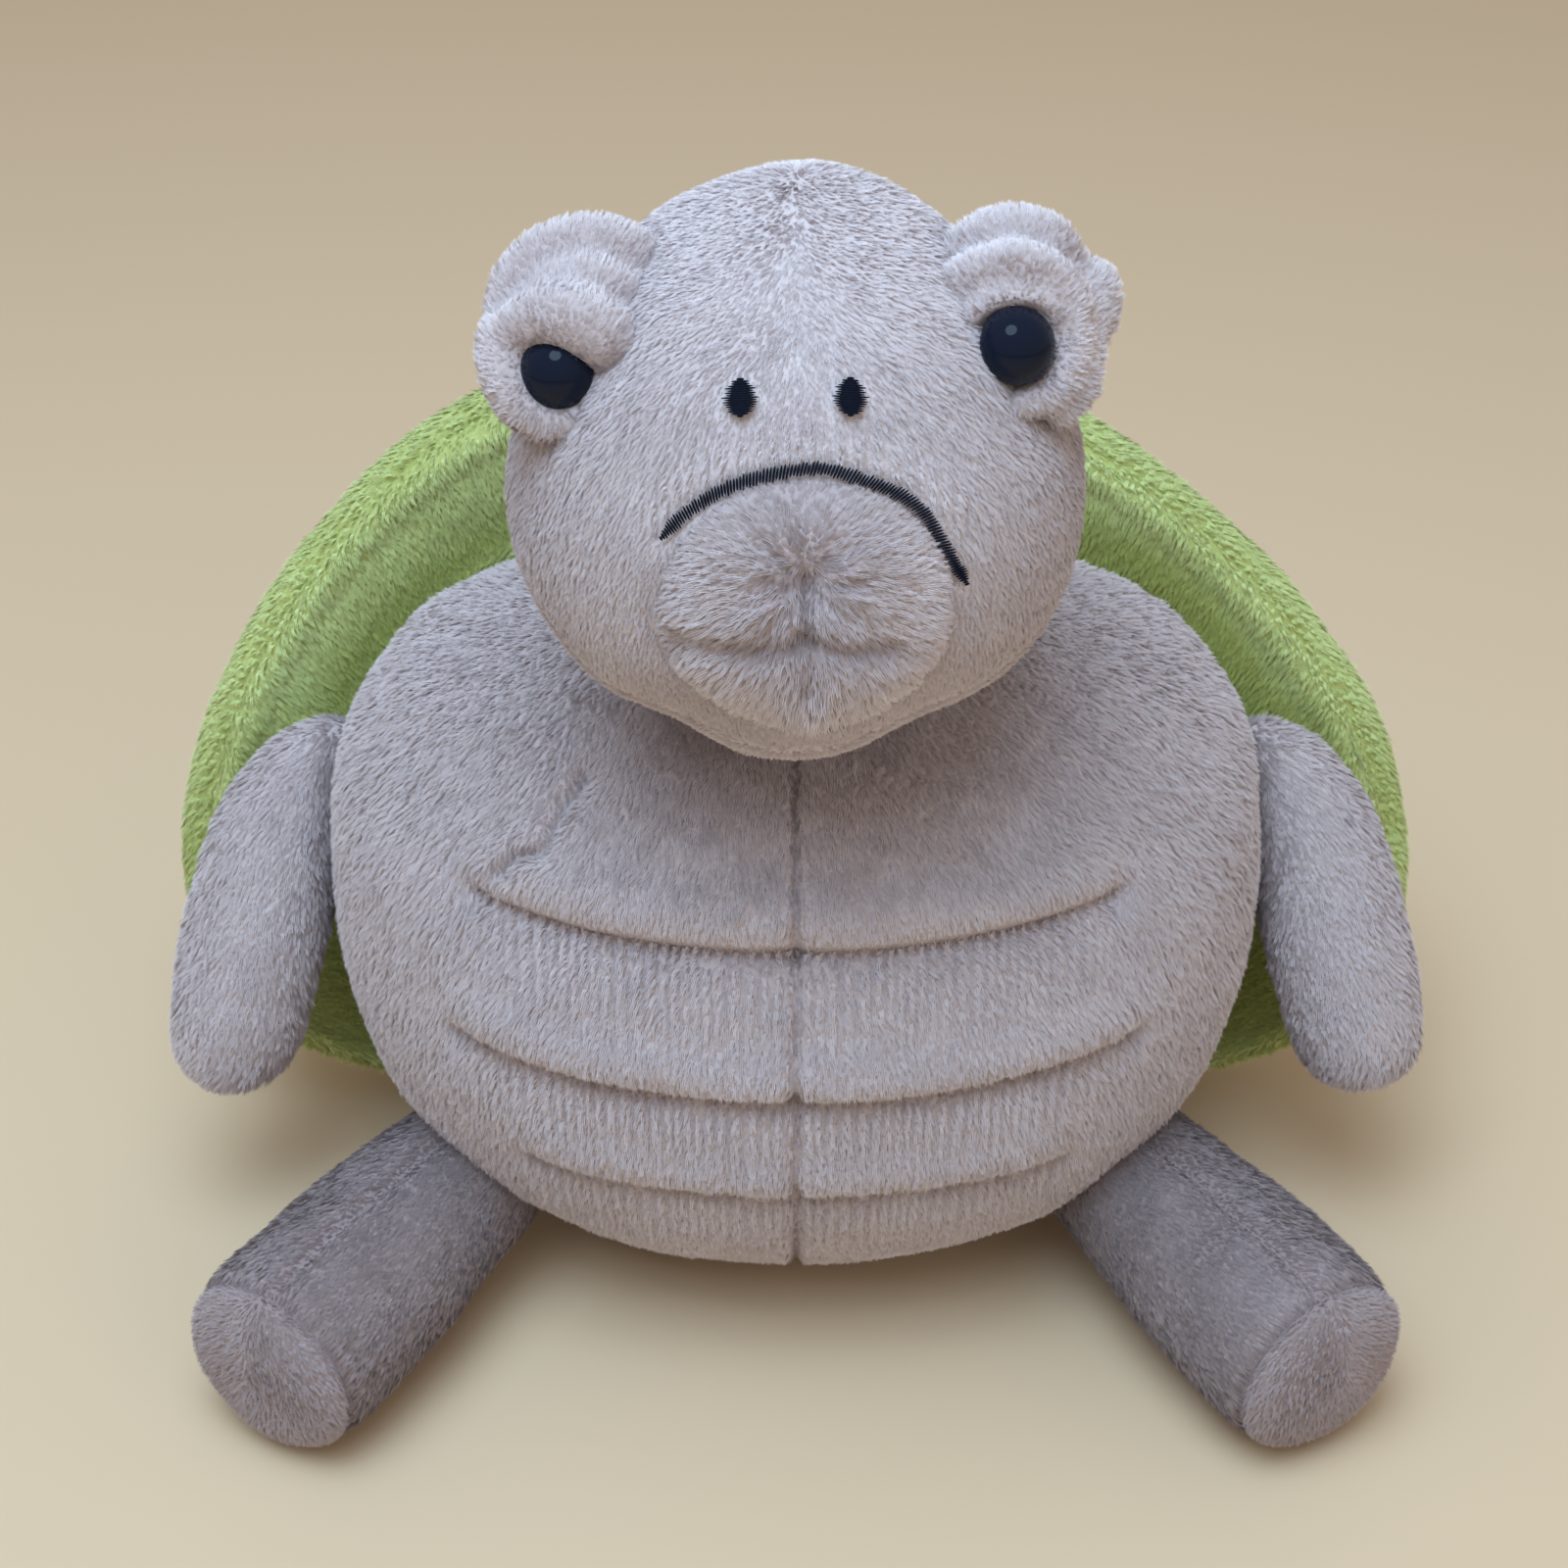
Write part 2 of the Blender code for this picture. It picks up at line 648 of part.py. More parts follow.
def eye_frame(side):
    """Where the eye's back sits on its mound, and the way it looks."""
    across, height = EYE_PLACE_SHARES
    aim = Vector(EYE_AIM_SHARES).normalized()
    aim.x *= side
    mound = mound_centre(side)
    sizes = Vector((MOUND_HALF_WIDTH, MOUND_HALF_DEPTH, MOUND_HALF_HEIGHT))
    x = side * across * HEAD_HALF_WIDTH + head_centre().x - mound.x
    z = height * HEAD_HALF_HEIGHT + head_centre().z - mound.z
    inside = max(0.0, 1 - (x / sizes.x)**2 - (z / sizes.z)**2)
    front = mound + Vector((x, -sizes.y * math.sqrt(inside), z))
    return front - aim * EYE_SINK, aim


def mound_centre(side):
    across, along, height = MOUND_PLACE_SHARES
    return head_centre() + Vector((side * across * HEAD_HALF_WIDTH, along * HEAD_HALF_DEPTH,
                                   height * HEAD_HALF_HEIGHT))


def eye_form(name, side, extra):
    """A glossy dome with a flat back and a stem."""
    origin, aim = eye_frame(side)
    radius = EYE_RADIUS + extra
    profile = [(-STEM_LENGTH - extra, 0), (-STEM_LENGTH - extra, STEM_RADIUS + extra),
               (-extra, STEM_RADIUS + extra), (-extra, radius)]
    for k in range(1, 4):
        angle = math.pi / 2 * k / 4
        profile.append(((EYE_HEIGHT + extra) * math.sin(angle), radius * math.cos(angle)))
    profile.append((EYE_HEIGHT + extra, 0))
    return turned(name, origin, aim, profile, LIMB_SIDES)


def build_head(pivot):
    outer = head_form("head_outer", HEAD_SIDES, 13)
    inner = offset(head_form("head_inner", CORE_SIDES, 9), -FABRIC)
    filling = offset(head_form("head_stuffing", CORE_SIDES, 9), -FABRIC - GAP)
    room = offset(copy_of(outer, "head_room"), GAP)
    socket = ellipsoid("neck_socket", neck_top(), (NECK_TOP_RADIUS + 2 * SOCKET_CLEARANCE,) * 3, 18, 12)
    skin = combine(outer, inner)
    combine(skin, socket, keep_tool=True)
    combine(filling, socket)

    for side, word in ((1, "left"), (-1, "right")):
        centre = mound_centre(side)
        sizes = Vector((MOUND_HALF_WIDTH, MOUND_HALF_DEPTH, MOUND_HALF_HEIGHT))
        gap = Vector((GAP, GAP, GAP))
        lid_skin = Vector((EYELID, EYELID, EYELID))
        eye = eye_form("eye_" + word, side, 0)
        eye_room = eye_form("eye_room", side, GAP)
        mound = ellipsoid("eye_mound_" + word, centre, sizes)
        combine(mound, room, keep_tool=True)
        lid = ellipsoid("eyelid_" + word, centre, sizes + gap + lid_skin)
        combine(lid, ellipsoid("lid_room", centre, sizes + gap))
        combine(lid, room, keep_tool=True)
        origin, aim = eye_frame(side)
        slope = Vector(LID_SLOPE_SHARES).normalized()
        slope.x *= side
        combine(lid, half_space(origin + slope * EYELID_LIFT, slope), "INTERSECT")
        combine_all(lid, [eye_room])
        combine_all(mound, [eye_room])
        combine_all(skin, [eye_room])
        washer_place = origin - aim * (STEM_LENGTH - WASHER_THICKNESS)
        outer_edge = WASHER_RADIUS
        hole = STEM_RADIUS + GAP
        washer = turned("eye_washer_" + word, washer_place, aim,
                        [(-WASHER_THICKNESS, 0), (-WASHER_THICKNESS, outer_edge), (0, outer_edge), (0, 0)], 12)
        bore = turned("washer_bore", washer_place, aim,
                      [(-2 * WASHER_THICKNESS, 0), (-2 * WASHER_THICKNESS, hole), (WASHER_THICKNESS, hole),
                       (WASHER_THICKNESS, 0)], 8)
        combine(washer, bore)
        recess = turned("washer_recess", washer_place, aim,
                        [(-WASHER_THICKNESS - GAP, 0), (-WASHER_THICKNESS - GAP, outer_edge + GAP),
                         (STEM_LENGTH, outer_edge + GAP), (STEM_LENGTH, 0)], 12)
        combine(filling, recess)
        discard(eye_room)
        finish(mound, PLUSH, 0.9, pivot)
        finish(lid, PLUSH, 0.9, pivot)
        finish(eye, BLACK_EYE, 0.08, pivot)
        finish(washer, BLACK_EYE, 0.4, pivot)

        across, height = NOSTRIL_PLACE_SHARES
        place = head_point(side * across, height)
        look = head_normal(side * across, height)
        nostril = ellipsoid("nostril_" + word, (0, 0, 0), (NOSTRIL_HALF_WIDTH, NOSTRIL_HALF_HEIGHT,
                                                            NOSTRIL_RELIEF), 10, 6)
        nostril.data.transform(Matrix.Translation(place) @ look.to_track_quat("Z", "Y").to_matrix().to_4x4())
        combine(nostril, room, keep_tool=True)
        finish(nostril, BLACK_THREAD, 0.6, pivot)

    line, spacing = [], []
    steps = 12
    lift = MOUTH_THREAD_RADIUS + GAP + SEAM
    for k in range(steps + 1):
        t = 2 * k / steps - 1
        across = t * MOUTH_HALF_WIDTH / HEAD_HALF_WIDTH
        height = MOUTH_TOP_SHARE - MOUTH_DROP / HEAD_HALF_HEIGHT * t**2
        line.append(head_point(across, height) + head_normal(across, height) * lift)
        spacing.append(MOUTH_THREAD_RADIUS)
    mouth = tube("mouth_line", line, spacing, 6)
    mouth_room = tube("mouth_room", line, [radius + GAP for radius in spacing], 6)
    lip_place = head_point(0, LIP_PLACE_SHARE) + Vector((0, LIP_SINK, 0))
    lip = ellipsoid("chin_pouch", lip_place, (LIP_HALF_WIDTH, LIP_HALF_DEPTH, LIP_HALF_HEIGHT), 16, 10)
    combine(lip, room, keep_tool=True)
    combine(lip, mouth_room)
    finish(mouth, BLACK_THREAD, 0.6, pivot)
    finish(lip, PLUSH, 0.9, pivot)

    seam_normal = Vector((0, math.cos(FACE_SEAM_LEAN), -math.sin(FACE_SEAM_LEAN)))
    face = keep_side(copy_of(skin, "head_face_panel"), head_centre(), -seam_normal)
    throat = keep_side(copy_of(skin, "head_throat_panel"), head_centre(), seam_normal)
    discard(skin, room)
    finish(face, PLUSH, 0.9, pivot)
    finish(throat, PLUSH, 0.9, pivot)
    finish(filling, FILLING, 0.95, pivot)


def build_arm(side, word, pivot):
    centres, radii = arm_path(side)
    outer = tube("arm_outer", centres, radii, LIMB_SIDES)
    slim_centres = centres[:1] + centres[2:-4] + centres[-3:]
    slim_radii = radii[:1] + radii[2:-4] + radii[-3:]
    inner = offset(tube("arm_inner", slim_centres, slim_radii, LIMB_SIDES - 5), -FABRIC)
    filling = offset(tube("arm_stuffing_" + word, slim_centres, slim_radii, LIMB_SIDES - 5), -FABRIC - GAP)
    skin = combine(outer, inner)
    middle = len(centres) - 5
    first = centres[middle] - centres[5]
    second = centres[-1] - centres[middle]
    normal = first.cross(second).normalized()
    if normal.y > 0:
        normal.negate()
    front = keep_side(copy_of(skin, "arm_front_" + word), centres[middle], normal)
    back = keep_side(copy_of(skin, "arm_back_" + word), centres[middle], -normal)
    discard(skin)
    finish(front, PLUSH, 0.9, pivot)
    finish(back, PLUSH, 0.9, pivot)
    finish(filling, FILLING, 0.95, pivot)


def build_leg(side, word, pivot):
    axis = leg_axis(side)
    profile = leg_profile(0)
    slim = profile[:1] + profile[1:-1:2] + profile[-1:]
    outer = turned("leg_outer", hip(side), axis, profile, LIMB_SIDES + 2)
    inner = offset(turned("leg_inner", hip(side), axis, slim, LIMB_SIDES - 4), -FABRIC)
    filling = offset(turned("leg_stuffing_" + word, hip(side), axis, slim, LIMB_SIDES - 4), -FABRIC - GAP)
    seam = hip(side) + axis * (LEG_LENGTH * SOLE_SEAM_SHARE)
    cover = keep_side(copy_of(outer, "leg_cover_" + word), seam, -axis)
    sole = keep_side(copy_of(outer, "leg_sole_" + word), seam, axis)
    combine(cover, inner, keep_tool=True)
    combine(sole, inner)
    discard(outer)
    finish(cover, PLUSH, 0.9, pivot)
    finish(sole, PLUSH_SOLE, 0.9, pivot)
    finish(filling, FILLING, 0.95, pivot)


def main():
    clear_scene()
    body_pivot = add_pivot("body_pivot", (0, 0, 0))
    neck_pivot = add_pivot("neck_pivot", neck_root())
    head_pivot = add_pivot("head_pivot", neck_top())
    build_body(body_pivot)
    build_shell(body_pivot)
    neck = neck_form("neck", 0)
    finish(neck, PLUSH, 0.9, neck_pivot)
    build_head(head_pivot)
    for side, word in ((1, "left"), (-1, "right")):
        build_arm(side, word, add_pivot("shoulder_pivot_" + word, shoulder(side)))
        build_leg(side, word, add_pivot("hip_pivot_" + word, hip(side)))


main()
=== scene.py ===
"""Sitting plush turtle, dressed over its solid frame.

Each soft part is a padded skin with sewn seams, and a short pile grows on it by Geometry Nodes.
The face is stitched in satin thread, and the eyes are glossy domes.
"""
import math

import bmesh
import bpy
import numpy as np
from bpy.props import FloatProperty, FloatVectorProperty, PointerProperty
from mathutils import Matrix, Vector, noise
from mathutils.bvhtree import BVHTree


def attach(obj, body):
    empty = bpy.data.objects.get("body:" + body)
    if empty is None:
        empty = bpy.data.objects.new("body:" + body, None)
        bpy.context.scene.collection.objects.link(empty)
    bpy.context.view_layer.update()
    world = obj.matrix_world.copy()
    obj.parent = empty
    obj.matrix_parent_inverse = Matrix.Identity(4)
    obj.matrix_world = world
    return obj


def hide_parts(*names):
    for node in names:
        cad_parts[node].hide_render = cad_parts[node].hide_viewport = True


bl_info = {
    "name": "Plush Turtle",
    "version": (1, 0, 0),
    "blender": (4, 5, 0),
    "location": "3D View > Sidebar > Turtle",
    "description": "Padded skins, pile, stitched face and stage of a sitting plush turtle",
    "category": "Object",
}

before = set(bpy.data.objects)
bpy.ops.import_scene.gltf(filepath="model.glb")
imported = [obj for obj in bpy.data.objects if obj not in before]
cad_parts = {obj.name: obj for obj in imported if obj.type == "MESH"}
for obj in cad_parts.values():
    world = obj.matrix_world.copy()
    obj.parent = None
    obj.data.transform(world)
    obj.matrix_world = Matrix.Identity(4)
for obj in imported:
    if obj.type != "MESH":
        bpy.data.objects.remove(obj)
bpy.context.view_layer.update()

# Camera of the photograph
PITCH = math.radians(33)
EYE_DISTANCE = 0.520
LOOK_AT = Vector((0, 0, 0.090))
FOCAL_PIXELS = 2700.0
PICTURE = 1600.0
MIDDLE_PIXEL = Vector((812.0, 800.0))
VIEW_RIGHT = Vector((1, 0, 0))
VIEW_UP = Vector((0, math.sin(PITCH), math.cos(PITCH)))
VIEW_AHEAD = Vector((0, math.cos(PITCH), -math.sin(PITCH)))
VIEW_FROM = LOOK_AT - VIEW_AHEAD * EYE_DISTANCE
RIGHT, UP, AHEAD = (np.array(axis) for axis in (VIEW_RIGHT, VIEW_UP, VIEW_AHEAD))
SENSOR = 36.0

# Body
BODY_HEIGHT = 0.141
BODY_HALF_WIDTH = 0.0915
BODY_FRONT = 0.078
BODY_BACK = 0.044
SIDE_SEAM = -0.0105
BODY_TABLE = [
    (0.00, 0.43, 0.42, 0.46), (0.03, 0.565, 0.545, 0.60), (0.085, 0.70, 0.68, 0.735),
    (0.17, 0.835, 0.815, 0.86), (0.28, 0.935, 0.925, 0.95), (0.41, 0.99, 0.985, 0.995),
    (0.52, 1.00, 1.00, 1.00), (0.64, 0.995, 0.97, 0.98), (0.74, 0.97, 0.90, 0.93),
    (0.83, 0.91, 0.79, 0.85), (0.90, 0.80, 0.64, 0.73), (0.955, 0.61, 0.45, 0.56),
    (0.99, 0.34, 0.24, 0.33), (1.0, 0.08, 0.06, 0.08),
]
# Height and half width of each tuck, as shares of the body, and its strength
TUCKS = [(0.715, 0.655, 1.0), (0.510, 0.70, 0.85), (0.333, 0.56, 0.62)]
TUCK_SMILE = 0.045
TUCK_DEPTH = 0.0046
TUCK_BULGE = 0.0024
TUCK_END = 0.0024
BELLY_SEAM_DEPTH = 0.0014
CREASE_DEPTH = 0.0026
SHOULDER_TRIM = 0.032
SHOULDER_HEIGHT = 0.117
CHEST_CREASE = [(590, 790), (562, 828), (545, 870), (520, 872), (504, 890)]

# Lines and places of the face on the photograph
MOUTH_PIXELS = [(676, 549), (692, 529), (716, 510), (750, 494), (792, 483), (836, 480), (880, 487),
                (919, 503), (942, 524), (958, 546), (971, 570), (983, 594)]
MOUTH_STITCHES = 118
MOUTH_WIDTH = 0.0022
MOUTH_LIFT = 0.0013
NOSTRIL_STITCHES = 17
NOSTRIL_HALF_HEIGHT = 0.0027
NOSTRIL_WIDTH = 0.0050
NOSTRIL_LIFT = 0.0014
NOSTRIL_PIXELS = {"right": (757, 408), "left": (866, 407)}
DART_PIXEL = (822, 600)
DART_LINE = [(822, 590), (823, 640), (826, 705)]
LOWER_LIP_LINE = [(690, 655), (735, 668), (780, 668), (822, 655), (868, 668), (915, 664)]
BEARD_PIXEL = (832, 722)

# Shell
SHELL_HALF_WIDTH = 0.129
SHELL_RISE = 0.110
SHELL_DROP = 0.0545
SHELL_DEPTH = 0.059
SHELL_MIDDLE = np.array(Vector((0, 0.014, 0.060)))
SHELL_LEAN = math.radians(14)
SHELL_UP = np.array((0, math.sin(SHELL_LEAN), math.cos(SHELL_LEAN)))
SHELL_BACK = np.array((0, math.cos(SHELL_LEAN), -math.sin(SHELL_LEAN)))
BRIM_EDGE = 0.007
BRIM_TABLE = [(0.45, 1.25), (0.72, 0.80), (0.86, 0.06), (0.935, 0.06), (0.985, 0.50)]
DOME_TABLE = [(1.0, 0.0), (0.982, 0.13), (0.90, 0.35), (0.74, 0.60), (0.52, 0.815), (0.27, 0.955)]
SHELL_SEAM = 0.95
SHELL_RAISED = 0.0072
SHELL_LOWERED = 0.0030
RIM_DEPTH = 0.0016
ROLL_HEIGHT = 0.0019
DOME_SEAM_DEPTH = 0.0012
# Where the brim meets shoulder and arm on the photograph, along which the brim's pile is given painted shadow
BRIM_SHADOW_PIXELS = ([(518, 576), (400, 645), (351, 726), (262, 767), (205, 856)],
                    [(1110, 572), (1191, 612), (1256, 686), (1276, 730), (1354, 750), (1411, 824)])

# Neck and head
NECK_LEAN = math.radians(32)
NECK_ROOT = Vector((0, -0.0105, 0.1175))
NECK_AXIS = Vector((0, -math.sin(NECK_LEAN), math.cos(NECK_LEAN)))
NECK_LENGTH = 0.038
NECK_FOOT_RADIUS = 0.022
NECK_WAIST_RADIUS = 0.0185
NECK_TOP_RADIUS = 0.021
HEAD_SIZE = Vector((0.0472, 0.0462, 0.0482))
HEAD_MIDDLE = NECK_ROOT + NECK_AXIS * (NECK_LENGTH + HEAD_SIZE.z * 0.83)
HEAD_TABLE = [(-1.0, 0.98, 0.96), (-0.45, 1.015, 1.0), (0.0, 1.0, 1.015), (0.45, 0.955, 1.0),
              (0.8, 0.885, 0.96), (1.0, 0.86, 0.94)]
FACE_SEAM_LEAN = math.radians(43)
FACE_SEAM_DEPTH = 0.0018
LIP_DEPTH = 0.0009
JAW_DEPTH = 0.0024
CROWN_HEIGHT = 0.0016
LIP_SIZE = Vector((0.0238, 0.014, 0.0218))
LIP_SINK = 0.0085
CHIN_FULLNESS = 0.0012
DART_DEPTH = 0.0020
DART_LINE_DEPTH = 0.0012
LOWER_LIP_DEPTH = 0.0013

# Limbs: each row of the arm holds x, y, z and radius in millimetres
ARM_TABLE = [(85.5, 3.0, 101.5, 2.2), (87.0, 2.9, 100.2, 4.8), (90.6, 2.4, 97.4, 7.9),
             (95.4, 0.8, 92.4, 10.9), (99.8, -2.8, 84.8, 13.4), (103.2, -7.5, 75.9, 14.5),
             (105.9, -12.3, 66.8, 14.9), (109.6, -17.8, 52.5, 14.6), (112.2, -20.6, 43.0, 13.3),
             (113.5, -22.2, 37.0, 10.4), (114.0, -22.9, 33.4, 5.2)]
LEG_RADIUS = 0.0178
HIP_RADIUS = 0.0138
HIP_PLACE = Vector((0.0599325, -0.02808, 0.0215))
LEG_LENGTH = 0.0755
LEG_SPLAY = math.radians(32)
LEG_TABLE = [(0.24, 0.87), (0.52, 0.965), (0.75, 1.0), (0.86, 0.98), (0.935, 0.90), (0.978, 0.64)]
LEG_PADDING = 1.08
SOLE_SEAM = 0.895
LEG_SEAM_DEPTH = 0.0015
SOLE_SEAM_DEPTH = 0.0013
SIDES = ((1, "left"), (-1, "right"))

# The pile stands this far out of its skin, so each skin lies this deep in its solid
SKIN_INSET = 0.0013

# Heights above the floor under which no pile and no skin hangs
FLOOR_GAP = 0.0002
SKIN_GAP = 0.0006
SHELL_GAP = 0.001

# Gathers: radians of ribbing per metre, their slow drift, and how far a rib stands out
RIB_TURNS = 2900.0
RIB_DRIFT = 330.0
RIB_RISE = 0.0010

# Node trees and materials that are made once and then shared
TREES = {}
MATERIALS = {}


# Node trees, written as arithmetic

class Wire:
    """A node socket that takes plain arithmetic."""

    def __init__(self, tree, socket):
        self.tree = tree
        self.socket = socket

    def math(self, operation, *others, clamp=False):
        settings = {"operation": operation, "use_clamp": clamp}
        return self.tree.node("ShaderNodeMath", settings, dict(enumerate((self, *others))))[0]

    def __add__(self, other):
        return self.math("ADD", other)

    def __sub__(self, other):
        return self.math("SUBTRACT", other)

    def __mul__(self, other):
        return self.math("MULTIPLY", other)

    def __rsub__(self, other):
        return self.tree.node("ShaderNodeMath", {"operation": "SUBTRACT"}, {0: other, 1: self})[0]

    def clamped(self):
        return self.math("ADD", 0.0, clamp=True)


class Node:
    """A node whose outputs are read by place or by name."""

    def __init__(self, tree, node):
        self.tree = tree
        self.node = node

    def __getitem__(self, key):
        return Wire(self.tree, self.node.outputs[key])


class Tree:
    """A node tree that one method fills."""

    def __init__(self, tree):
        self.tree = tree

    def node(self, kind, settings=None, inputs=None):
        """Adds a node: its settings first, then the values and links of its sockets."""
        node = self.tree.nodes.new(kind)
        for key, value in (settings or {}).items():
            setattr(node, key, value)
        self.feed(node, inputs or {})
        return Node(self, node)

    def feed(self, node, inputs):
        """Links wires to the sockets of a node, and sets plain values on them."""
        for key, value in inputs.items():
            for item in value if isinstance(value, list) else [value]:
                if isinstance(item, Wire):
                    self.tree.links.new(item.socket, node.inputs[key])
                else:
                    node.inputs[key].default_value = item

    def noise(self, place, scale, detail, result="Fac"):
        values = {"Vector": place, "Scale": scale, "Detail": detail}
        return self.node("ShaderNodeTexNoise", None, values)[result]

    def vector(self, operation, *values):
        return self.node("ShaderNodeVectorMath", {"operation": operation}, dict(enumerate(values)))[0]

    def scaled(self, vector, size):
        return self.node("ShaderNodeVectorMath", {"operation": "SCALE"}, {0: vector, 3: size})[0]

    def join(self, x, y, z):
        return self.node("ShaderNodeCombineXYZ", None, {0: x, 1: y, 2: z})[0]

    def mix(self, factor, first, second):
        """Mixes two colours."""
        return self.node("ShaderNodeMix", {"data_type": "RGBA"}, {0: factor, 6: first, 7: second})[2]

    def random(self, low, high, seed):
        node = self.node("FunctionNodeRandomValue", {"data_type": "FLOAT"}, {2: low, 3: high, 8: seed})
        return node[1]

    def attribute(self, name, kind="FLOAT"):
        return self.node("GeometryNodeInputNamedAttribute", {"data_type": kind}, {"Name": name})[0]

    def store(self, geometry, name, value, kind="FLOAT", domain="POINT"):
        return self.node("GeometryNodeStoreNamedAttribute", {"data_type": kind, "domain": domain},
                         {"Geometry": geometry, "Name": name, "Value": value})[0]


def geometry_tree(name, sizes):
    """A Geometry Nodes tree with named inputs; returns it with the wires of those inputs."""
    group = bpy.data.node_groups.new(name, "GeometryNodeTree")
    group.interface.new_socket("Geometry", in_out="INPUT", socket_type="NodeSocketGeometry")
    for label, kind in sizes:
        group.interface.new_socket(label, in_out="INPUT", socket_type=kind)
    group.interface.new_socket("Geometry", in_out="OUTPUT", socket_type="NodeSocketGeometry")
    tree = Tree(group)
    start = tree.node("NodeGroupInput")
    return tree, {label: start[label] for label in ["Geometry"] + [row[0] for row in sizes]}


def close_tree(tree, geometry, material):
    """Ends a tree in Realize Instances, which has run by now, and Set Material."""
    dressed = tree.node("GeometryNodeSetMaterial", None, {"Geometry": geometry, "Material": material})[0]
    tree.node("NodeGroupOutput", None, {0: dressed})
    return tree.tree


def keep_result(item):
    """Runs an object's modifiers and keeps what they make as its plain mesh."""
    graph = bpy.context.evaluated_depsgraph_get()
    mesh = bpy.data.meshes.new_from_object(item.evaluated_get(graph), preserve_all_data_layers=True,
                                           depsgraph=graph)
    item.modifiers.clear()
    old = item.data
    item.data = mesh
    mesh.name = item.name
    bpy.data.meshes.remove(old)
    return item


def run_tree(item, group, values):
    """Runs a tree on an object with these inputs and keeps the result."""
    modifier = item.modifiers.new(group.name, "NODES")
    modifier.node_group = group
    for socket in group.interface.items_tree:
        if socket.in_out == "INPUT" and socket.name in values:
            modifier[socket.identifier] = values[socket.name]
    return keep_result(item)


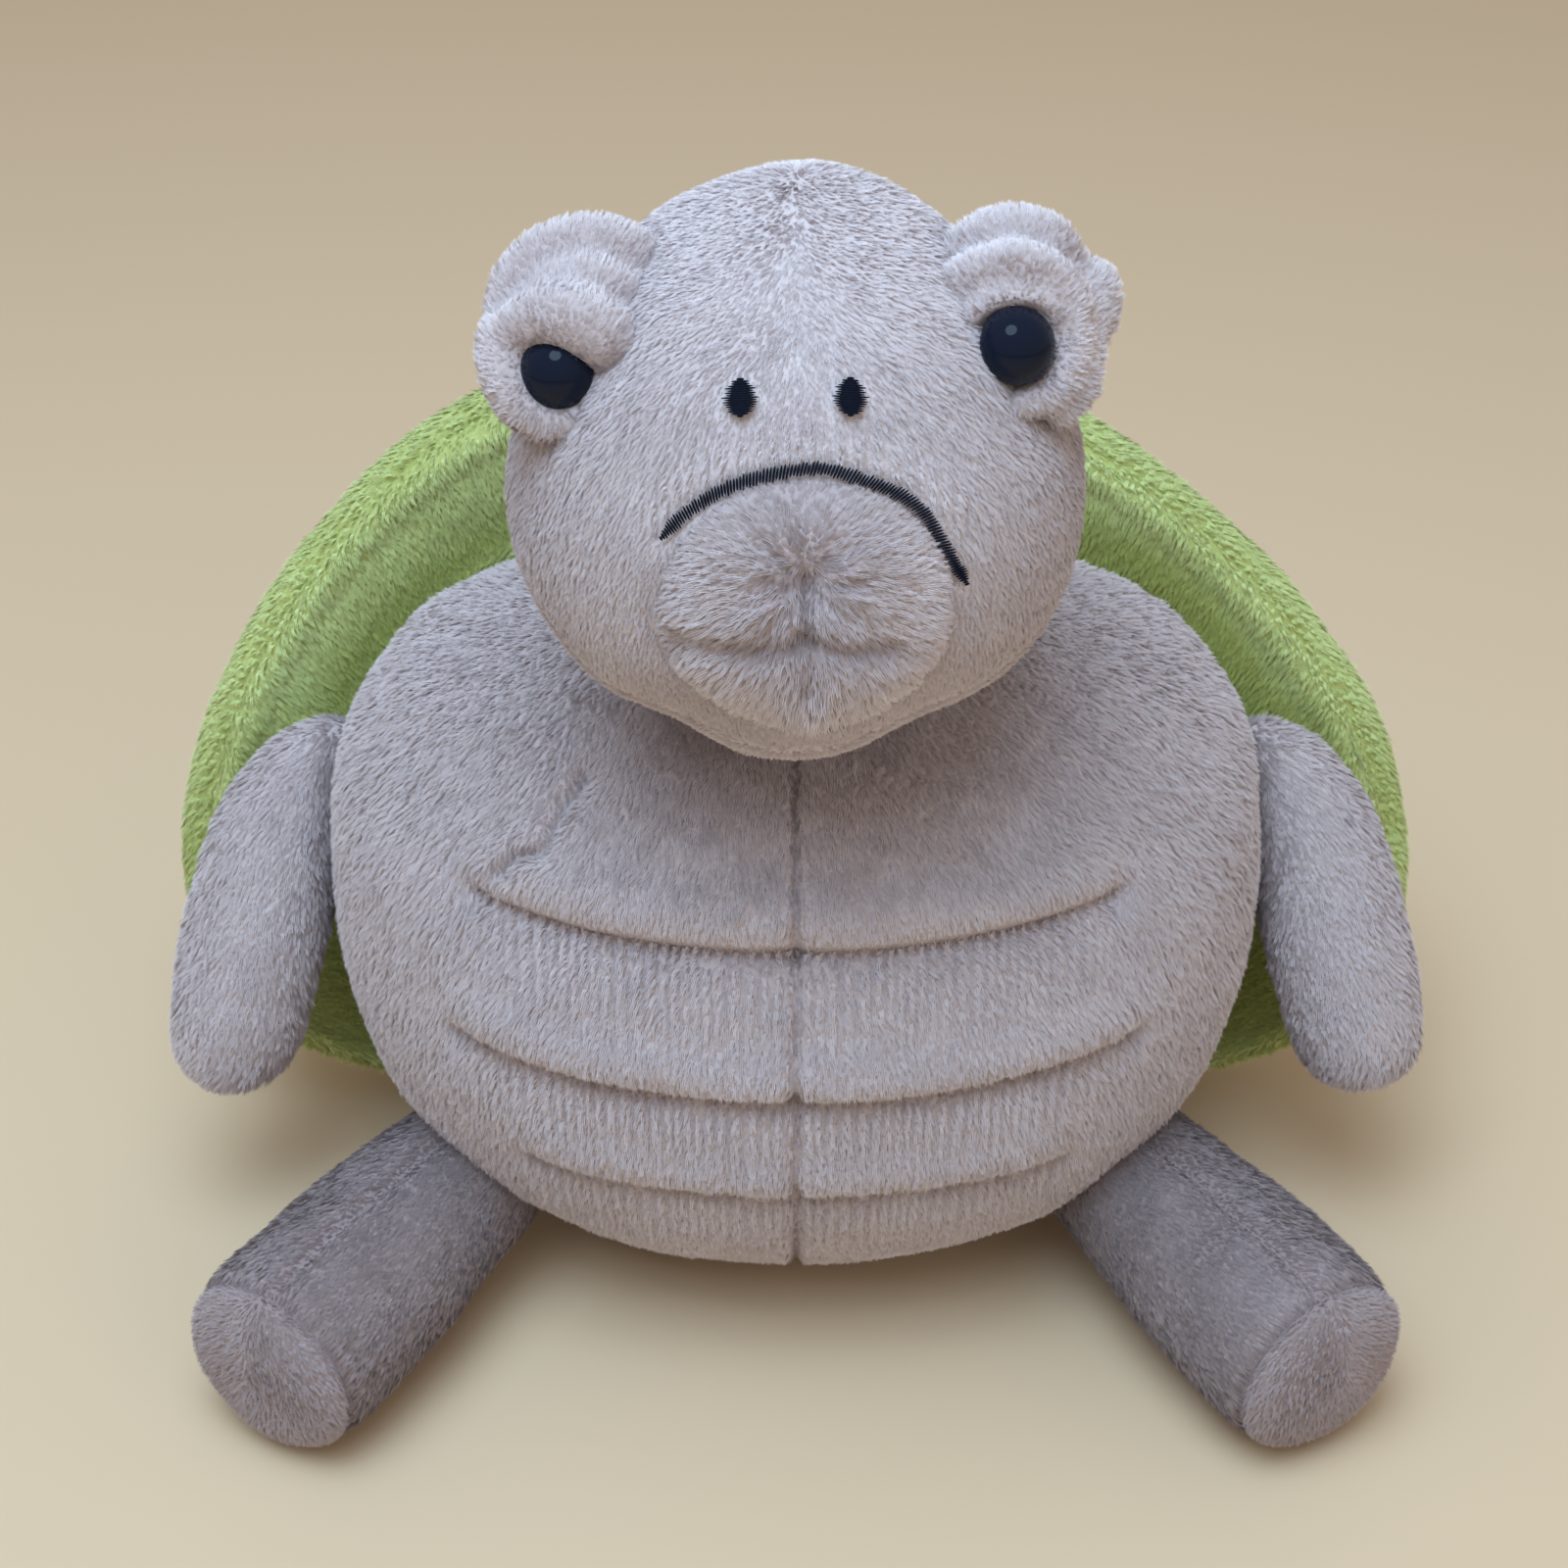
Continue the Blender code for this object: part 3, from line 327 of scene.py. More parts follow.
def pile_tree():
    """Tufts of four thin blades that lie along the skin's nap."""
    tree, value = geometry_tree("pile", [
        ("Tufts per Area", "NodeSocketFloat"), ("Length", "NodeSocketFloat"), ("Width", "NodeSocketFloat"),
        ("Disorder", "NodeSocketFloat"), ("Seed", "NodeSocketInt"), ("Material", "NodeSocketMaterial")])
    scatter = tree.node("GeometryNodeDistributePointsOnFaces", {"distribute_method": "RANDOM"}, {
        "Mesh": value["Geometry"], "Seed": value["Seed"],
        "Density": value["Tufts per Area"] * tree.attribute("thick")})
    place = tree.node("GeometryNodeInputPosition")[0]
    upright = scatter["Normal"]

    curl = tree.noise(place, 330.0, 1.0, "Color")
    swirl = tree.noise(place, 75.0, 1.0, "Color")
    stray = tree.node("FunctionNodeRandomValue", {"data_type": "FLOAT_VECTOR"},
                      {0: (-1.0, -1.0, -1.0), 1: (1.0, 1.0, 1.0), 8: 5})[0]
    heading = tree.attribute("comb", "FLOAT_VECTOR")
    for drift, middle, share in ((curl, 0.5, 2.2), (swirl, 0.5, 1.6), (stray, 0.0, 0.42)):
        drift = tree.vector("SUBTRACT", drift, (middle, middle, middle))
        heading = tree.vector("ADD", heading, tree.scaled(drift, value["Disorder"] * share))
    heading = tree.vector("NORMALIZE", heading)
    turn = tree.node("FunctionNodeAxesToRotation", {"primary_axis": "Y", "secondary_axis": "Z"},
                     {"Primary Axis": heading, "Secondary Axis": upright})[0]
    twist = tree.node("FunctionNodeAxisAngleToRotation", None,
                      {"Axis": (0.0, 1.0, 0.0), "Angle": tree.random(-0.6, 0.6, 11)})[0]
    turn = tree.node("FunctionNodeRotateRotation", {"rotation_space": "LOCAL"},
                     {"Rotation": turn, "Rotate By": twist})[0]

    phase = tree.attribute("phase")
    ribs = (phase * RIB_TURNS + (phase * RIB_DRIFT).math("SINE") * 2.2).math("SINE") * tree.attribute("ribs")
    patch = tree.noise(place, 120.0, 2.0)
    grain = tree.noise(place, 620.0, 1.0)
    # The shade holds the skin's tone with its painted light and shade, random patches and grain, and the
    # gathers' ribs as painted light on their crests and painted shade in their grooves
    shade = (tree.attribute("tint") + (patch - 0.5) * 0.22 + (grain - 0.5) * 0.12 + ribs * 0.34
             + tree.random(-0.03, 0.03, 3)).clamped()
    points = tree.store(scatter["Points"], "shade", shade)
    points = tree.node("GeometryNodeSetPosition", None, {
        "Geometry": points, "Offset": tree.scaled(upright, ribs * RIB_RISE)})[0]
    points = tree.store(points, "upright", upright, "FLOAT_VECTOR")

    tip = tree.node("GeometryNodeInputIndex")[0].math("GREATER_THAN", 1.5)
    side = (tree.node("GeometryNodeInputIndex")[0] - 0.5) * (1.0 - tip)
    blade = tree.node("GeometryNodeMeshCircle", {"fill_type": "NGON"}, {"Vertices": 3})[0]
    blade = tree.node("GeometryNodeSetPosition", None, {
        "Geometry": blade, "Position": tree.join(side * value["Width"], tip * value["Length"], 0.0)})[0]
    blade = tree.store(blade, "along", tip)
    tuft = []
    for across, back, pitch, roll, size in ((-1.5, -0.10, 0.10, -0.16, 0.92), (-0.5, 0.02, -0.07, 0.05, 1.06),
                                            (0.5, -0.04, 0.05, -0.03, 0.98), (1.5, 0.05, -0.10, 0.17, 0.86)):
        spot = tree.join(value["Width"] * (across * 0.85), value["Length"] * back, 0.0)
        tuft.append(tree.node("GeometryNodeTransform", None, {
            "Geometry": blade, "Translation": spot, "Rotation": (pitch, 0.0, roll),
            "Scale": (size, size, size)})[0])
    tuft = tree.node("GeometryNodeJoinGeometry", None, {"Geometry": tuft})[0]

    size = tree.attribute("height") * tree.random(0.75, 1.15, 7)
    grown = tree.node("GeometryNodeInstanceOnPoints", None, {
        "Points": points, "Instance": tuft, "Rotation": turn, "Scale": tree.join(size, size, size)})[0]
    grown = tree.node("GeometryNodeRealizeInstances", None, {"Geometry": grown})[0]
    own = tree.node("GeometryNodeInputNormal")[0]
    soft = tree.vector("ADD", tree.scaled(own, 0.06), tree.attribute("upright", "FLOAT_VECTOR"))
    soft = tree.vector("NORMALIZE", soft)
    grown = tree.node("GeometryNodeSetMeshNormal", {"mode": "FREE", "domain": "POINT"},
                      {"Mesh": grown, "Custom Normal": soft})[0]
    spread = tree.join(tree.attribute("shade"), tree.attribute("along"), 0.0)
    grown = tree.store(grown, "OFBake", spread, "FLOAT2", "CORNER")
    return close_tree(tree, grown, value["Material"])


# Materials

def material(name):
    made = bpy.data.materials.new(name)
    made.use_nodes = True
    return made, Tree(made.node_tree), made.node_tree.nodes["Principled BSDF"]


def pile_material(name, root, shadow, tip):
    """Blades run from their root colour to their tip, and each tuft has its own shade."""
    made, tree, shader = material(name)
    spread = tree.node("ShaderNodeUVMap", {"uv_map": "OFBake"})[0]
    parts = tree.node("ShaderNodeSeparateXYZ", None, {0: spread})
    shade, along = parts[0], parts[1]
    low = tree.mix(shade, (*root, 1), (*shadow, 1))
    high = tree.mix(shade, (*shadow, 1), (*tip, 1))
    colour = tree.mix((along * 0.45 + 0.55).clamped(), low, high)
    tree.feed(shader, {"Base Color": colour, "Roughness": 0.82, "Specular IOR Level": 0.18,
                       "Sheen Weight": 0.35, "Sheen Roughness": 0.45, "Sheen Tint": (0.93, 0.92, 1.0, 1.0)})
    return made


def cloth_material(name, root, shadow):
    """The knitted backing that shows between the blades."""
    made, tree, shader = material(name)
    place = tree.node("ShaderNodeTexCoord")["Object"]
    patch = tree.noise(place, 160.0, 3.0)
    grain = tree.noise(place, 1400.0, 2.0)
    colour = tree.mix(((patch - 0.5) * 0.8 + grain).clamped(), (*root, 1), (*shadow, 1))
    bump = tree.node("ShaderNodeBump", None, {"Strength": 0.5, "Distance": 0.0006, "Height": grain})[0]
    tree.feed(shader, {"Base Color": colour, "Roughness": 0.92, "Normal": bump,
                       "Specular IOR Level": 0.1, "Sheen Weight": 0.3, "Sheen Roughness": 0.5})
    return made


def thread_material(name, colour):
    made, tree, shader = material(name)
    place = tree.node("ShaderNodeTexCoord")["Object"]
    twist = tree.noise(place, 2600.0, 1.0)
    tone = tree.mix(twist, (*[c * 0.5 for c in colour], 1), (*[c * 1.5 for c in colour], 1))
    bump = tree.node("ShaderNodeBump", None, {"Strength": 0.4, "Distance": 0.0002, "Height": twist})[0]
    tree.feed(shader, {"Base Color": tone, "Roughness": 0.6, "Normal": bump, "Specular IOR Level": 0.08})
    return made


def eye_material(name, colour, gloss):
    made, tree, shader = material(name)
    place = tree.node("ShaderNodeTexCoord")["Object"]
    haze = tree.noise(place, 300.0, 2.0)
    tree.feed(shader, {"Base Color": (*colour, 1), "Roughness": haze * 0.03 + gloss, "IOR": 1.45,
                       "Specular IOR Level": 0.2, "Coat Weight": 0.06, "Coat Roughness": 0.02})
    return made


# Forms

def along_table(table, keys):
    """Reads a table by its first column along a smooth curve through its rows."""
    rows = np.array(table, float)
    x, v = rows[:, 0], rows[:, 1:]
    slopes = np.empty_like(v)
    slopes[1:-1] = (v[2:] - v[:-2]) / (x[2:] - x[:-2])[:, None]
    slopes[0] = (v[1] - v[0]) / (x[1] - x[0])
    slopes[-1] = (v[-1] - v[-2]) / (x[-1] - x[-2])
    keys = np.asarray(keys, float)
    k = np.clip(np.searchsorted(x, keys, side="right") - 1, 0, len(x) - 2)
    span = (x[k + 1] - x[k])[..., None]
    t = np.clip((keys - x[k])[..., None] / span, 0, 1)
    return ((2 * t**3 - 3 * t**2 + 1) * v[k] + (t**3 - 2 * t**2 + t) * span * slopes[k]
            + (3 * t**2 - 2 * t**3) * v[k + 1] + (t**3 - t**2) * span * slopes[k + 1])


def smooth_path(points, count):
    """Even steps along a smooth curve through points of any number of values."""
    points = np.array(points, float)
    reach = np.concatenate([[0], np.cumsum(np.linalg.norm(np.diff(points[:, :3], axis=0), axis=1))])
    table = np.column_stack([reach, points])
    return along_table(table, np.linspace(0, reach[-1], count))


def signed_power(value, power):
    return np.sign(value) * np.abs(value) ** power


def link(name, mesh):
    item = bpy.data.objects.new(name, mesh)
    bpy.context.scene.collection.objects.link(item)
    return item


def facing_out(mesh):
    """Turns a closed skin so that its faces point outward."""
    work = bmesh.new()
    work.from_mesh(mesh)
    if work.calc_volume(signed=True) < 0:
        bmesh.ops.reverse_faces(work, faces=work.faces[:])
        work.to_mesh(mesh)
    work.free()


def closed_skin(name, rings, start, end):
    """A closed skin through rings of points, with a pole at each end."""
    rows, sides = rings.shape[:2]
    points = np.concatenate([rings.reshape(-1, 3), [start, end]])
    near = np.arange(sides)
    far = (near + 1) % sides
    faces = []
    for row in range(rows - 1):
        low, high = row * sides, (row + 1) * sides
        faces += np.stack([low + near, low + far, high + far, high + near], 1).tolist()
    last = (rows - 1) * sides
    faces += [[rows * sides, b, a] for a, b in zip(near.tolist(), far.tolist())]
    faces += [[rows * sides + 1, last + a, last + b] for a, b in zip(near.tolist(), far.tolist())]
    mesh = bpy.data.meshes.new(name)
    mesh.from_pydata(points.tolist(), [], faces)
    mesh.update()
    facing_out(mesh)
    mesh.shade_smooth()
    return link(name, mesh)


def read(item, key="co"):
    """The points of an object's mesh, or their normals."""
    values = np.empty(len(item.data.vertices) * 3)
    item.data.vertices.foreach_get(key, values)
    return values.reshape(-1, 3)


def write(item, points):
    item.data.vertices.foreach_set("co", np.ascontiguousarray(points, float).ravel())
    item.data.update()


def press(item, depth):
    """Moves each point inward along its normal by its own depth."""
    write(item, read(item) - read(item, "normal") * np.asarray(depth).reshape(-1, 1))


def settle(item, height):
    """Lifts whatever hangs lower than a height above the floor, and returns the points."""
    points = read(item)
    points[:, 2] = np.maximum(points[:, 2], height)
    write(item, points)
    return points


def ripple(points, size, seed):
    """Smooth noise at each point, between about -1 and 1; size is the width of its swells."""
    shift = Vector((seed * 7.31, seed * 3.17, seed * 5.73))
    return np.array([noise.noise(Vector(point) / size + shift) for point in points.tolist()])


def unit(vectors):
    return vectors / np.maximum(np.linalg.norm(vectors, axis=-1, keepdims=True), 1e-12)


def bell(distance, width):
    return np.exp(-(distance / width) ** 2)


def ease(value, low, high):
    t = np.clip((value - low) / (high - low), 0, 1)
    return t * t * (3 - 2 * t)


def pixels(points):
    """Where points fall on the photograph."""
    away = np.asarray(points, float).reshape(-1, 3) - np.array(VIEW_FROM)
    depth = away @ AHEAD
    return np.stack([MIDDLE_PIXEL.x + FOCAL_PIXELS * (away @ RIGHT) / depth,
                     MIDDLE_PIXEL.y - FOCAL_PIXELS * (away @ UP) / depth], 1)


def surface(item):
    """The faces of a piece, for finding places on it."""
    return BVHTree.FromPolygons([v.co for v in item.data.vertices], [p.vertices for p in item.data.polygons])


def seat(item, x, y):
    """The place and normal on a piece that the photograph shows at a pixel."""
    across = (x - MIDDLE_PIXEL.x) / FOCAL_PIXELS
    up = (MIDDLE_PIXEL.y - y) / FOCAL_PIXELS
    ray = (VIEW_AHEAD + VIEW_RIGHT * across + VIEW_UP * up).normalized()
    place, normal, _, _ = surface(item).ray_cast(VIEW_FROM, ray)
    if place is None:
        raise RuntimeError(f"nothing of {item.name} lies at pixel {x}, {y}")
    return place, normal


def crease(points, line):
    """Distance on the photograph, in pixels, from each point to a line drawn through pixels."""
    at = pixels(points)
    line = np.array(line, float)
    nearest = np.full(len(at), 1e9)
    for a, b in zip(line, line[1:]):
        t = np.clip(((at - a) @ (b - a)) / ((b - a) @ (b - a)), 0, 1)
        nearest = np.minimum(nearest, np.linalg.norm(at - a - t[:, None] * (b - a), axis=1))
    return nearest


def keep_values(mesh, **values):
    """Keeps an attribute on a mesh's points for each value: one number, one per point or a row of three."""
    for name, value in values.items():
        value = np.asarray(value, float)
        kind, key = ("FLOAT_VECTOR", "vector") if value.ndim == 2 else ("FLOAT", "value")
        if value.ndim < 2:
            value = np.broadcast_to(value, (len(mesh.vertices),))
        layer = mesh.attributes.new(name, kind, "POINT")
        layer.data.foreach_set(key, np.ascontiguousarray(value, np.float32).ravel())


def drop_values(mesh, names):
    for name in names:
        if name in mesh.attributes:
            mesh.attributes.remove(mesh.attributes[name])


def comb(item, flow, lift, tint, height=1.0, thick=1.0, ribs=0.0, phase=0.0):
    """Keeps the nap on a skin: its direction with its lift, its tone with painted light and shade, height,
    thickness and gathers.
    """
    normals = read(item, "normal")
    flow = np.broadcast_to(np.asarray(flow, float), normals.shape)
    lay = unit(flow - normals * (flow * normals).sum(1, keepdims=True))
    raised = np.radians(np.broadcast_to(np.asarray(lift, float), (len(normals),)))[:, None]
    nap = lay * np.cos(raised) + normals * np.sin(raised)
    keep_values(item.data, comb=nap, tint=tint, height=height, thick=thick, ribs=ribs, phase=phase)


def copy_faces(name, item, chosen):
    """A copy of a skin with only the chosen faces, or with all of them."""
    work = bmesh.new()
    work.from_mesh(item.data)
    work.faces.ensure_lookup_table()
    spare = [] if chosen is None else [work.faces[k] for k in np.flatnonzero(~chosen)]
    bmesh.ops.delete(work, geom=spare, context="FACES")
    mesh = bpy.data.meshes.new(name)
    work.to_mesh(mesh)
    work.free()
    return link(name, mesh)


def face_middles(item):
    values = np.empty(len(item.data.polygons) * 3)
    item.data.polygons.foreach_get("center", values)
    return values.reshape(-1, 3)


def grow_pile(context, name, item, chosen, body, seed, cover="plush_pile", dense=1.0,
              disorder=1.0):
    """Grows the pile on the chosen faces of a skin and keeps it as a mesh of its own."""
    plush = context.scene.turtle_plush
    coarse = 1.0
    if "pile" not in TREES:
        TREES["pile"] = pile_tree()
    pile = run_tree(copy_faces(name, item, chosen), TREES["pile"], {
        "Tufts per Area": plush.tufts_per_area * dense / coarse**2, "Length": plush.pile_length,
        "Width": plush.blade_width * coarse, "Disorder": plush.disorder * disorder, "Seed": seed,
        "Material": cover_of(context, cover)})
    points = read(pile)
    points[:, 2] = np.maximum(points[:, 2], FLOOR_GAP)
    pile.data.vertices.foreach_set("co", points.ravel())
    drop_values(pile.data, ("comb", "tint", "height", "thick", "ribs", "phase", "shade", "along", "upright"))
    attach(pile, body)


def dress(context, item, body, nodes, cover="plush_cloth"):
    """Gives a finished skin its backing and body, and hides the solids that it stands for."""
    item.data.materials.clear()
    item.data.materials.append(cover_of(context, cover))
    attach(item, body)
    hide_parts(*nodes)


def between(one, other, share):
    return tuple(a + (b - a) * share for a, b in zip(one, other))


def cover_of(context, key):
    """The materials of the pile and its backing, made once from the settings."""
    if not MATERIALS:
        plush, shell = context.scene.turtle_plush, context.scene.turtle_shell
        face = context.scene.turtle_face
        pale = {share: between(plush.middle, plush.tip, share) for share in (0.12, 0.3, 0.45, 0.65)}
        MATERIALS.update({
            "plush_pile": pile_material("taupe pile", plush.root, plush.middle, plush.tip),
            "plush_cloth": cloth_material("taupe backing", pale[0.12], pale[0.45]),
            "face_cloth": cloth_material("taupe backing of the face", pale[0.3], pale[0.65]),
            # The chin's and the legs' backings are darker, to match the painted shade on their pile
            "chin_cloth": cloth_material("taupe backing of the chin", plush.middle, pale[0.3]),
            "leg_cloth": cloth_material("taupe backing of the legs", plush.root,
                                        between(plush.root, plush.middle, 0.8)),
            "shell_pile": pile_material("chartreuse pile", shell.root, shell.middle, shell.tip),
            "shell_cloth": cloth_material("chartreuse backing", between(shell.root, shell.middle, 0.7),
                                          between(shell.middle, shell.tip, 0.4)),
            "thread": thread_material("satin thread", face.thread),
            "eye": eye_material("eye gloss", face.eye, face.gloss),
        })
    return MATERIALS[key]


# Skins

def body_rings(sides, rows):
    angles = np.linspace(-math.pi, math.pi, sides, endpoint=False) + math.pi / sides
    angles = angles - 0.8 * np.sin(angles) - math.pi / 2
    heights = np.linspace(0, 1, rows + 1)[:-1]
    width, front, back = along_table(BODY_TABLE, heights).T
    across = signed_power(np.cos(angles), 2 / 2.2)
    along = signed_power(np.sin(angles), 2 / 2.2)
    depth = np.where(along[None] < 0, BODY_FRONT * front[:, None], BODY_BACK * back[:, None])
    x = BODY_HALF_WIDTH * width[:, None] * across[None]
    return np.stack([x, depth * along[None], np.broadcast_to(heights[:, None] * BODY_HEIGHT, x.shape)], -1)


def tuck_heights(points, level):
    return BODY_HEIGHT * (level + TUCK_SMILE * (points[:, 0] / BODY_HALF_WIDTH) ** 2)


def tuck_fade(points, spread, front):
    reach = np.abs(points[:, 0]) / (spread * BODY_HALF_WIDTH)
    return np.clip(1 - reach**9, 0, 1) * front


def belly_relief(points):
    """How deep the centre seam and the stitched tucks draw the belly in."""
    x, y, z = points.T
    front = ease(-y, 0.012, 0.030)
    depth = BELLY_SEAM_DEPTH * bell(x, 0.0009) * front * ease(z, 0.004, 0.012)
    for level, spread, strength in TUCKS:
        rise = z - tuck_heights(points, level)
        fade = tuck_fade(points, spread, front) * strength
        above = np.exp(-np.maximum(rise, 0) / 0.0013)
        below = np.exp(np.minimum(rise, 0) / 0.0042)
        depth += TUCK_DEPTH * fade * np.where(rise >= 0, above, below)
        depth -= TUCK_BULGE * fade * bell(rise - 0.0062, 0.0050)
        depth += 0.0016 * strength * front * bell(x, 0.0035) * bell(rise, 0.0030)
        end = np.abs(np.abs(x) - spread * BODY_HALF_WIDTH * 0.97)
        depth += TUCK_END * strength * front * bell(end, 0.0022) * bell(rise + 0.0005, 0.0030)
    return depth + CREASE_DEPTH * bell(crease(points, CHEST_CREASE), 9) * (z > 0.09) * front


def shell_outline(count):
    """Even steps round the shell's outline, from its left side upward."""
    angle = np.linspace(0, math.tau, 6000)
    top = np.sin(angle) >= 0
    power = np.where(top, 2 / 1.83, 2 / 3.3)
    x = SHELL_HALF_WIDTH * signed_power(np.cos(angle), power)
    y = np.where(top, SHELL_RISE, SHELL_DROP) * signed_power(np.sin(angle), power)
    reach = np.concatenate([[0], np.cumsum(np.hypot(np.diff(x), np.diff(y)))])
    steps = np.linspace(0, reach[-1], count, endpoint=False)
    return np.stack([np.interp(steps, reach, x), np.interp(steps, reach, y)], 1)


def shell_share(across, rise):
    """How far out toward the shell's outline each place lies, as a share."""
    outline = shell_outline(720)
    angles = np.arctan2(outline[:, 1], outline[:, 0])
    order = np.argsort(angles)
    reach = np.hypot(outline[:, 0], outline[:, 1])[order]
    at = np.arctan2(rise, across)
    return np.hypot(across, rise) / np.interp(at, angles[order], reach, period=math.tau)


def shell_places(points):
    """How far across, up and back in the leaning shell each point lies."""
    away = points - SHELL_MIDDLE
    return points[:, 0], away @ SHELL_UP, away @ SHELL_BACK


def shell_rings(sides, rows):
    profile = [(share, BRIM_EDGE * depth) for share, depth in BRIM_TABLE]
    profile += [(share, BRIM_EDGE + (SHELL_DEPTH - BRIM_EDGE) * depth) for share, depth in DOME_TABLE]
    path = smooth_path([(share * SHELL_HALF_WIDTH, depth, 0) for share, depth in profile], rows)
    outline = shell_outline(sides)
    across = np.array((1, 0, 0))
    rings = []
    for reach, depth, _ in path:
        flat = outline * reach / SHELL_HALF_WIDTH
        rings.append(SHELL_MIDDLE + flat[:, :1] * across + flat[:, 1:] * SHELL_UP + SHELL_BACK * depth)
    rings = np.array(rings)
    rings[..., 2] = np.maximum(rings[..., 2], 0.0004)
    return rings, SHELL_MIDDLE + SHELL_BACK * BRIM_EDGE * 1.25, SHELL_MIDDLE + SHELL_BACK * SHELL_DEPTH


def head_rings(sides, rows):
    angles = np.linspace(0, math.tau, sides, endpoint=False) + math.pi / sides
    heights = -np.cos(np.linspace(0, math.pi, rows + 2)[1:-1])
    width, depth = along_table(HEAD_TABLE, heights).T
    round_off = np.sqrt(1 - heights**2)
    x = HEAD_SIZE.x * (width * round_off)[:, None] * np.cos(angles)[None]
    y = HEAD_SIZE.y * (depth * round_off)[:, None] * np.sin(angles)[None]
    z = np.broadcast_to(heights[:, None] * HEAD_SIZE.z, x.shape)
    return np.stack([x, y, z], -1) + np.array(HEAD_MIDDLE)


def ball_rings(centre, size, sides, rows):
    """Rings round an egg, from its lower end upward."""
    angles = np.linspace(0, math.tau, sides, endpoint=False)
    rise = np.linspace(0, math.pi, rows + 2)[1:-1, None]
    ball = [np.sin(rise) * np.sin(angles), np.sin(rise) * np.cos(angles), -np.cos(rise) * np.ones(sides)]
    return np.array(centre) + np.stack(ball, -1) * np.array(size)


def face_seam(points):
    """Distance behind the seam that runs round the lower face."""
    normal = np.array((0, math.cos(FACE_SEAM_LEAN), -math.sin(FACE_SEAM_LEAN)))
    return (points - np.array(HEAD_MIDDLE)) @ normal


def tube_rings(path, radii, sides):
    """Rings round a bent path, turned as little as can be from one to the next."""
    across = np.array((0.0, 1.0, 0.0))
    rings = []
    for k in range(len(path)):
        ahead = unit(path[min(k + 1, len(path) - 1)] - path[max(k - 1, 0)])
        across = unit(across - ahead * (across @ ahead))
        other = np.cross(ahead, across)
        angles = np.linspace(0, math.tau, sides, endpoint=False)[:, None]
        rings.append(path[k] + (across * np.cos(angles) + other * np.sin(angles)) * radii[k])
    return np.array(rings)


def arc(radius, start, end, steps):
    """Height and radius along a round end, with angles from its pole."""
    angles = np.radians(np.linspace(start, end, steps + 1))
    return [(-radius * math.cos(a), radius * math.sin(a)) for a in angles]


def arm_course(side):
    """Centres and radii of the arm, from its root in the shoulder to its tip."""
    rows = np.array(ARM_TABLE)
    rows[:, 0] *= side
    return rows / 1000


def leg_axis(side):
    drop = (HIP_PLACE.z - LEG_RADIUS - 0.0004) / (LEG_LENGTH * 0.75)
    return np.array(Vector((side * math.sin(LEG_SPLAY), -math.cos(LEG_SPLAY), -drop)).normalized())


def fuse(name, eggs, grain, smooth):
    """Fuses overlapping eggs, each a centre and three axes, into one skin that folds where they meet."""
    work = bmesh.new()
    bmesh.ops.create_icosphere(work, subdivisions=3, radius=1.0)
    ball = np.array([vertex.co for vertex in work.verts])
    sides = np.array([[vertex.index for vertex in face.verts] for face in work.faces])
    work.free()
    points = np.concatenate([ball @ np.asarray(axes).T + np.asarray(centre) for centre, axes in eggs])
    faces = np.concatenate([sides + k * len(ball) for k in range(len(eggs))])
    mesh = bpy.data.meshes.new(name)
    mesh.from_pydata(points.tolist(), [], faces.tolist())
    item = link(name, mesh)
    fused = item.modifiers.new("fuse", "REMESH")
    fused.mode = "VOXEL"
    fused.voxel_size = grain
    soften = item.modifiers.new("soften", "SMOOTH")
    soften.factor = 0.5
    soften.iterations = smooth
    keep_result(item)
    facing_out(item.data)
    item.data.shade_smooth()
    return item


# Settings

def colour_setting(name, note, value):
    return FloatVectorProperty(name=name, description=note, subtype="COLOR", size=3, min=0, max=1,
                               default=value)


def length_setting(name, note, value):
    return FloatProperty(name=name, description=note, default=value, min=0, unit="LENGTH", precision=5)


class TURTLE_PG_plush(bpy.types.PropertyGroup):
    pile_length: length_setting("Pile length", "How long each blade of the pile is", 0.0020)
    blade_width: length_setting("Blade width", "How wide a blade is at its root", 0.00026)
    tufts_per_area: FloatProperty(name="Tufts per area", description="Tufts on each square metre of skin",
                                  default=1.95e6, min=0)
    disorder: FloatProperty(name="Disorder", description="How far the tufts stray from the nap",
                            default=0.34, min=0, max=2)
    root: colour_setting("Root", "Colour deep in the pile", (0.31, 0.235, 0.23))
    middle: colour_setting("Middle", "Colour half way up the pile", (0.36, 0.285, 0.29))
    tip: colour_setting("Tip", "Colour of the ends of the pile", (0.84, 0.76, 0.785))


class TURTLE_PG_shell(bpy.types.PropertyGroup):
    root: colour_setting("Root", "Colour deep in the shell's pile", (0.235, 0.205, 0.035))
    middle: colour_setting("Middle", "Colour half way up the shell's pile", (0.445, 0.510, 0.148))
    tip: colour_setting("Tip", "Colour of the ends of the shell's pile", (0.76, 0.85, 0.43))


class TURTLE_PG_face(bpy.types.PropertyGroup):
    thread: colour_setting("Thread", "Colour of the satin thread", (0.006, 0.008, 0.017))
    thread_width: length_setting("Thread width", "Thickness of one satin thread", 0.00042)
    eye: colour_setting("Eye", "Colour of the eyes", (0.004, 0.008, 0.020))
    gloss: FloatProperty(name="Eye roughness", description="Roughness of the polished eyes",
                         default=0.04, min=0, max=1)
    eye_radius: length_setting("Eye radius", "Radius of each eye's dome", 0.006)


class TURTLE_PG_stage(bpy.types.PropertyGroup):
    floor: colour_setting("Floor", "Colour of the floor", (0.70, 0.53, 0.36))
    sky: FloatProperty(name="Room light", description="Strength of the light from all round", default=0.46,
                       min=0)
    key: FloatProperty(name="Key light", description="Power of the soft light above", default=13.5, min=0,
                       unit="POWER")
    fill: FloatProperty(name="Fill light", description="Power of the soft light in front", default=1.8, min=0,
                        unit="POWER")


# Operators

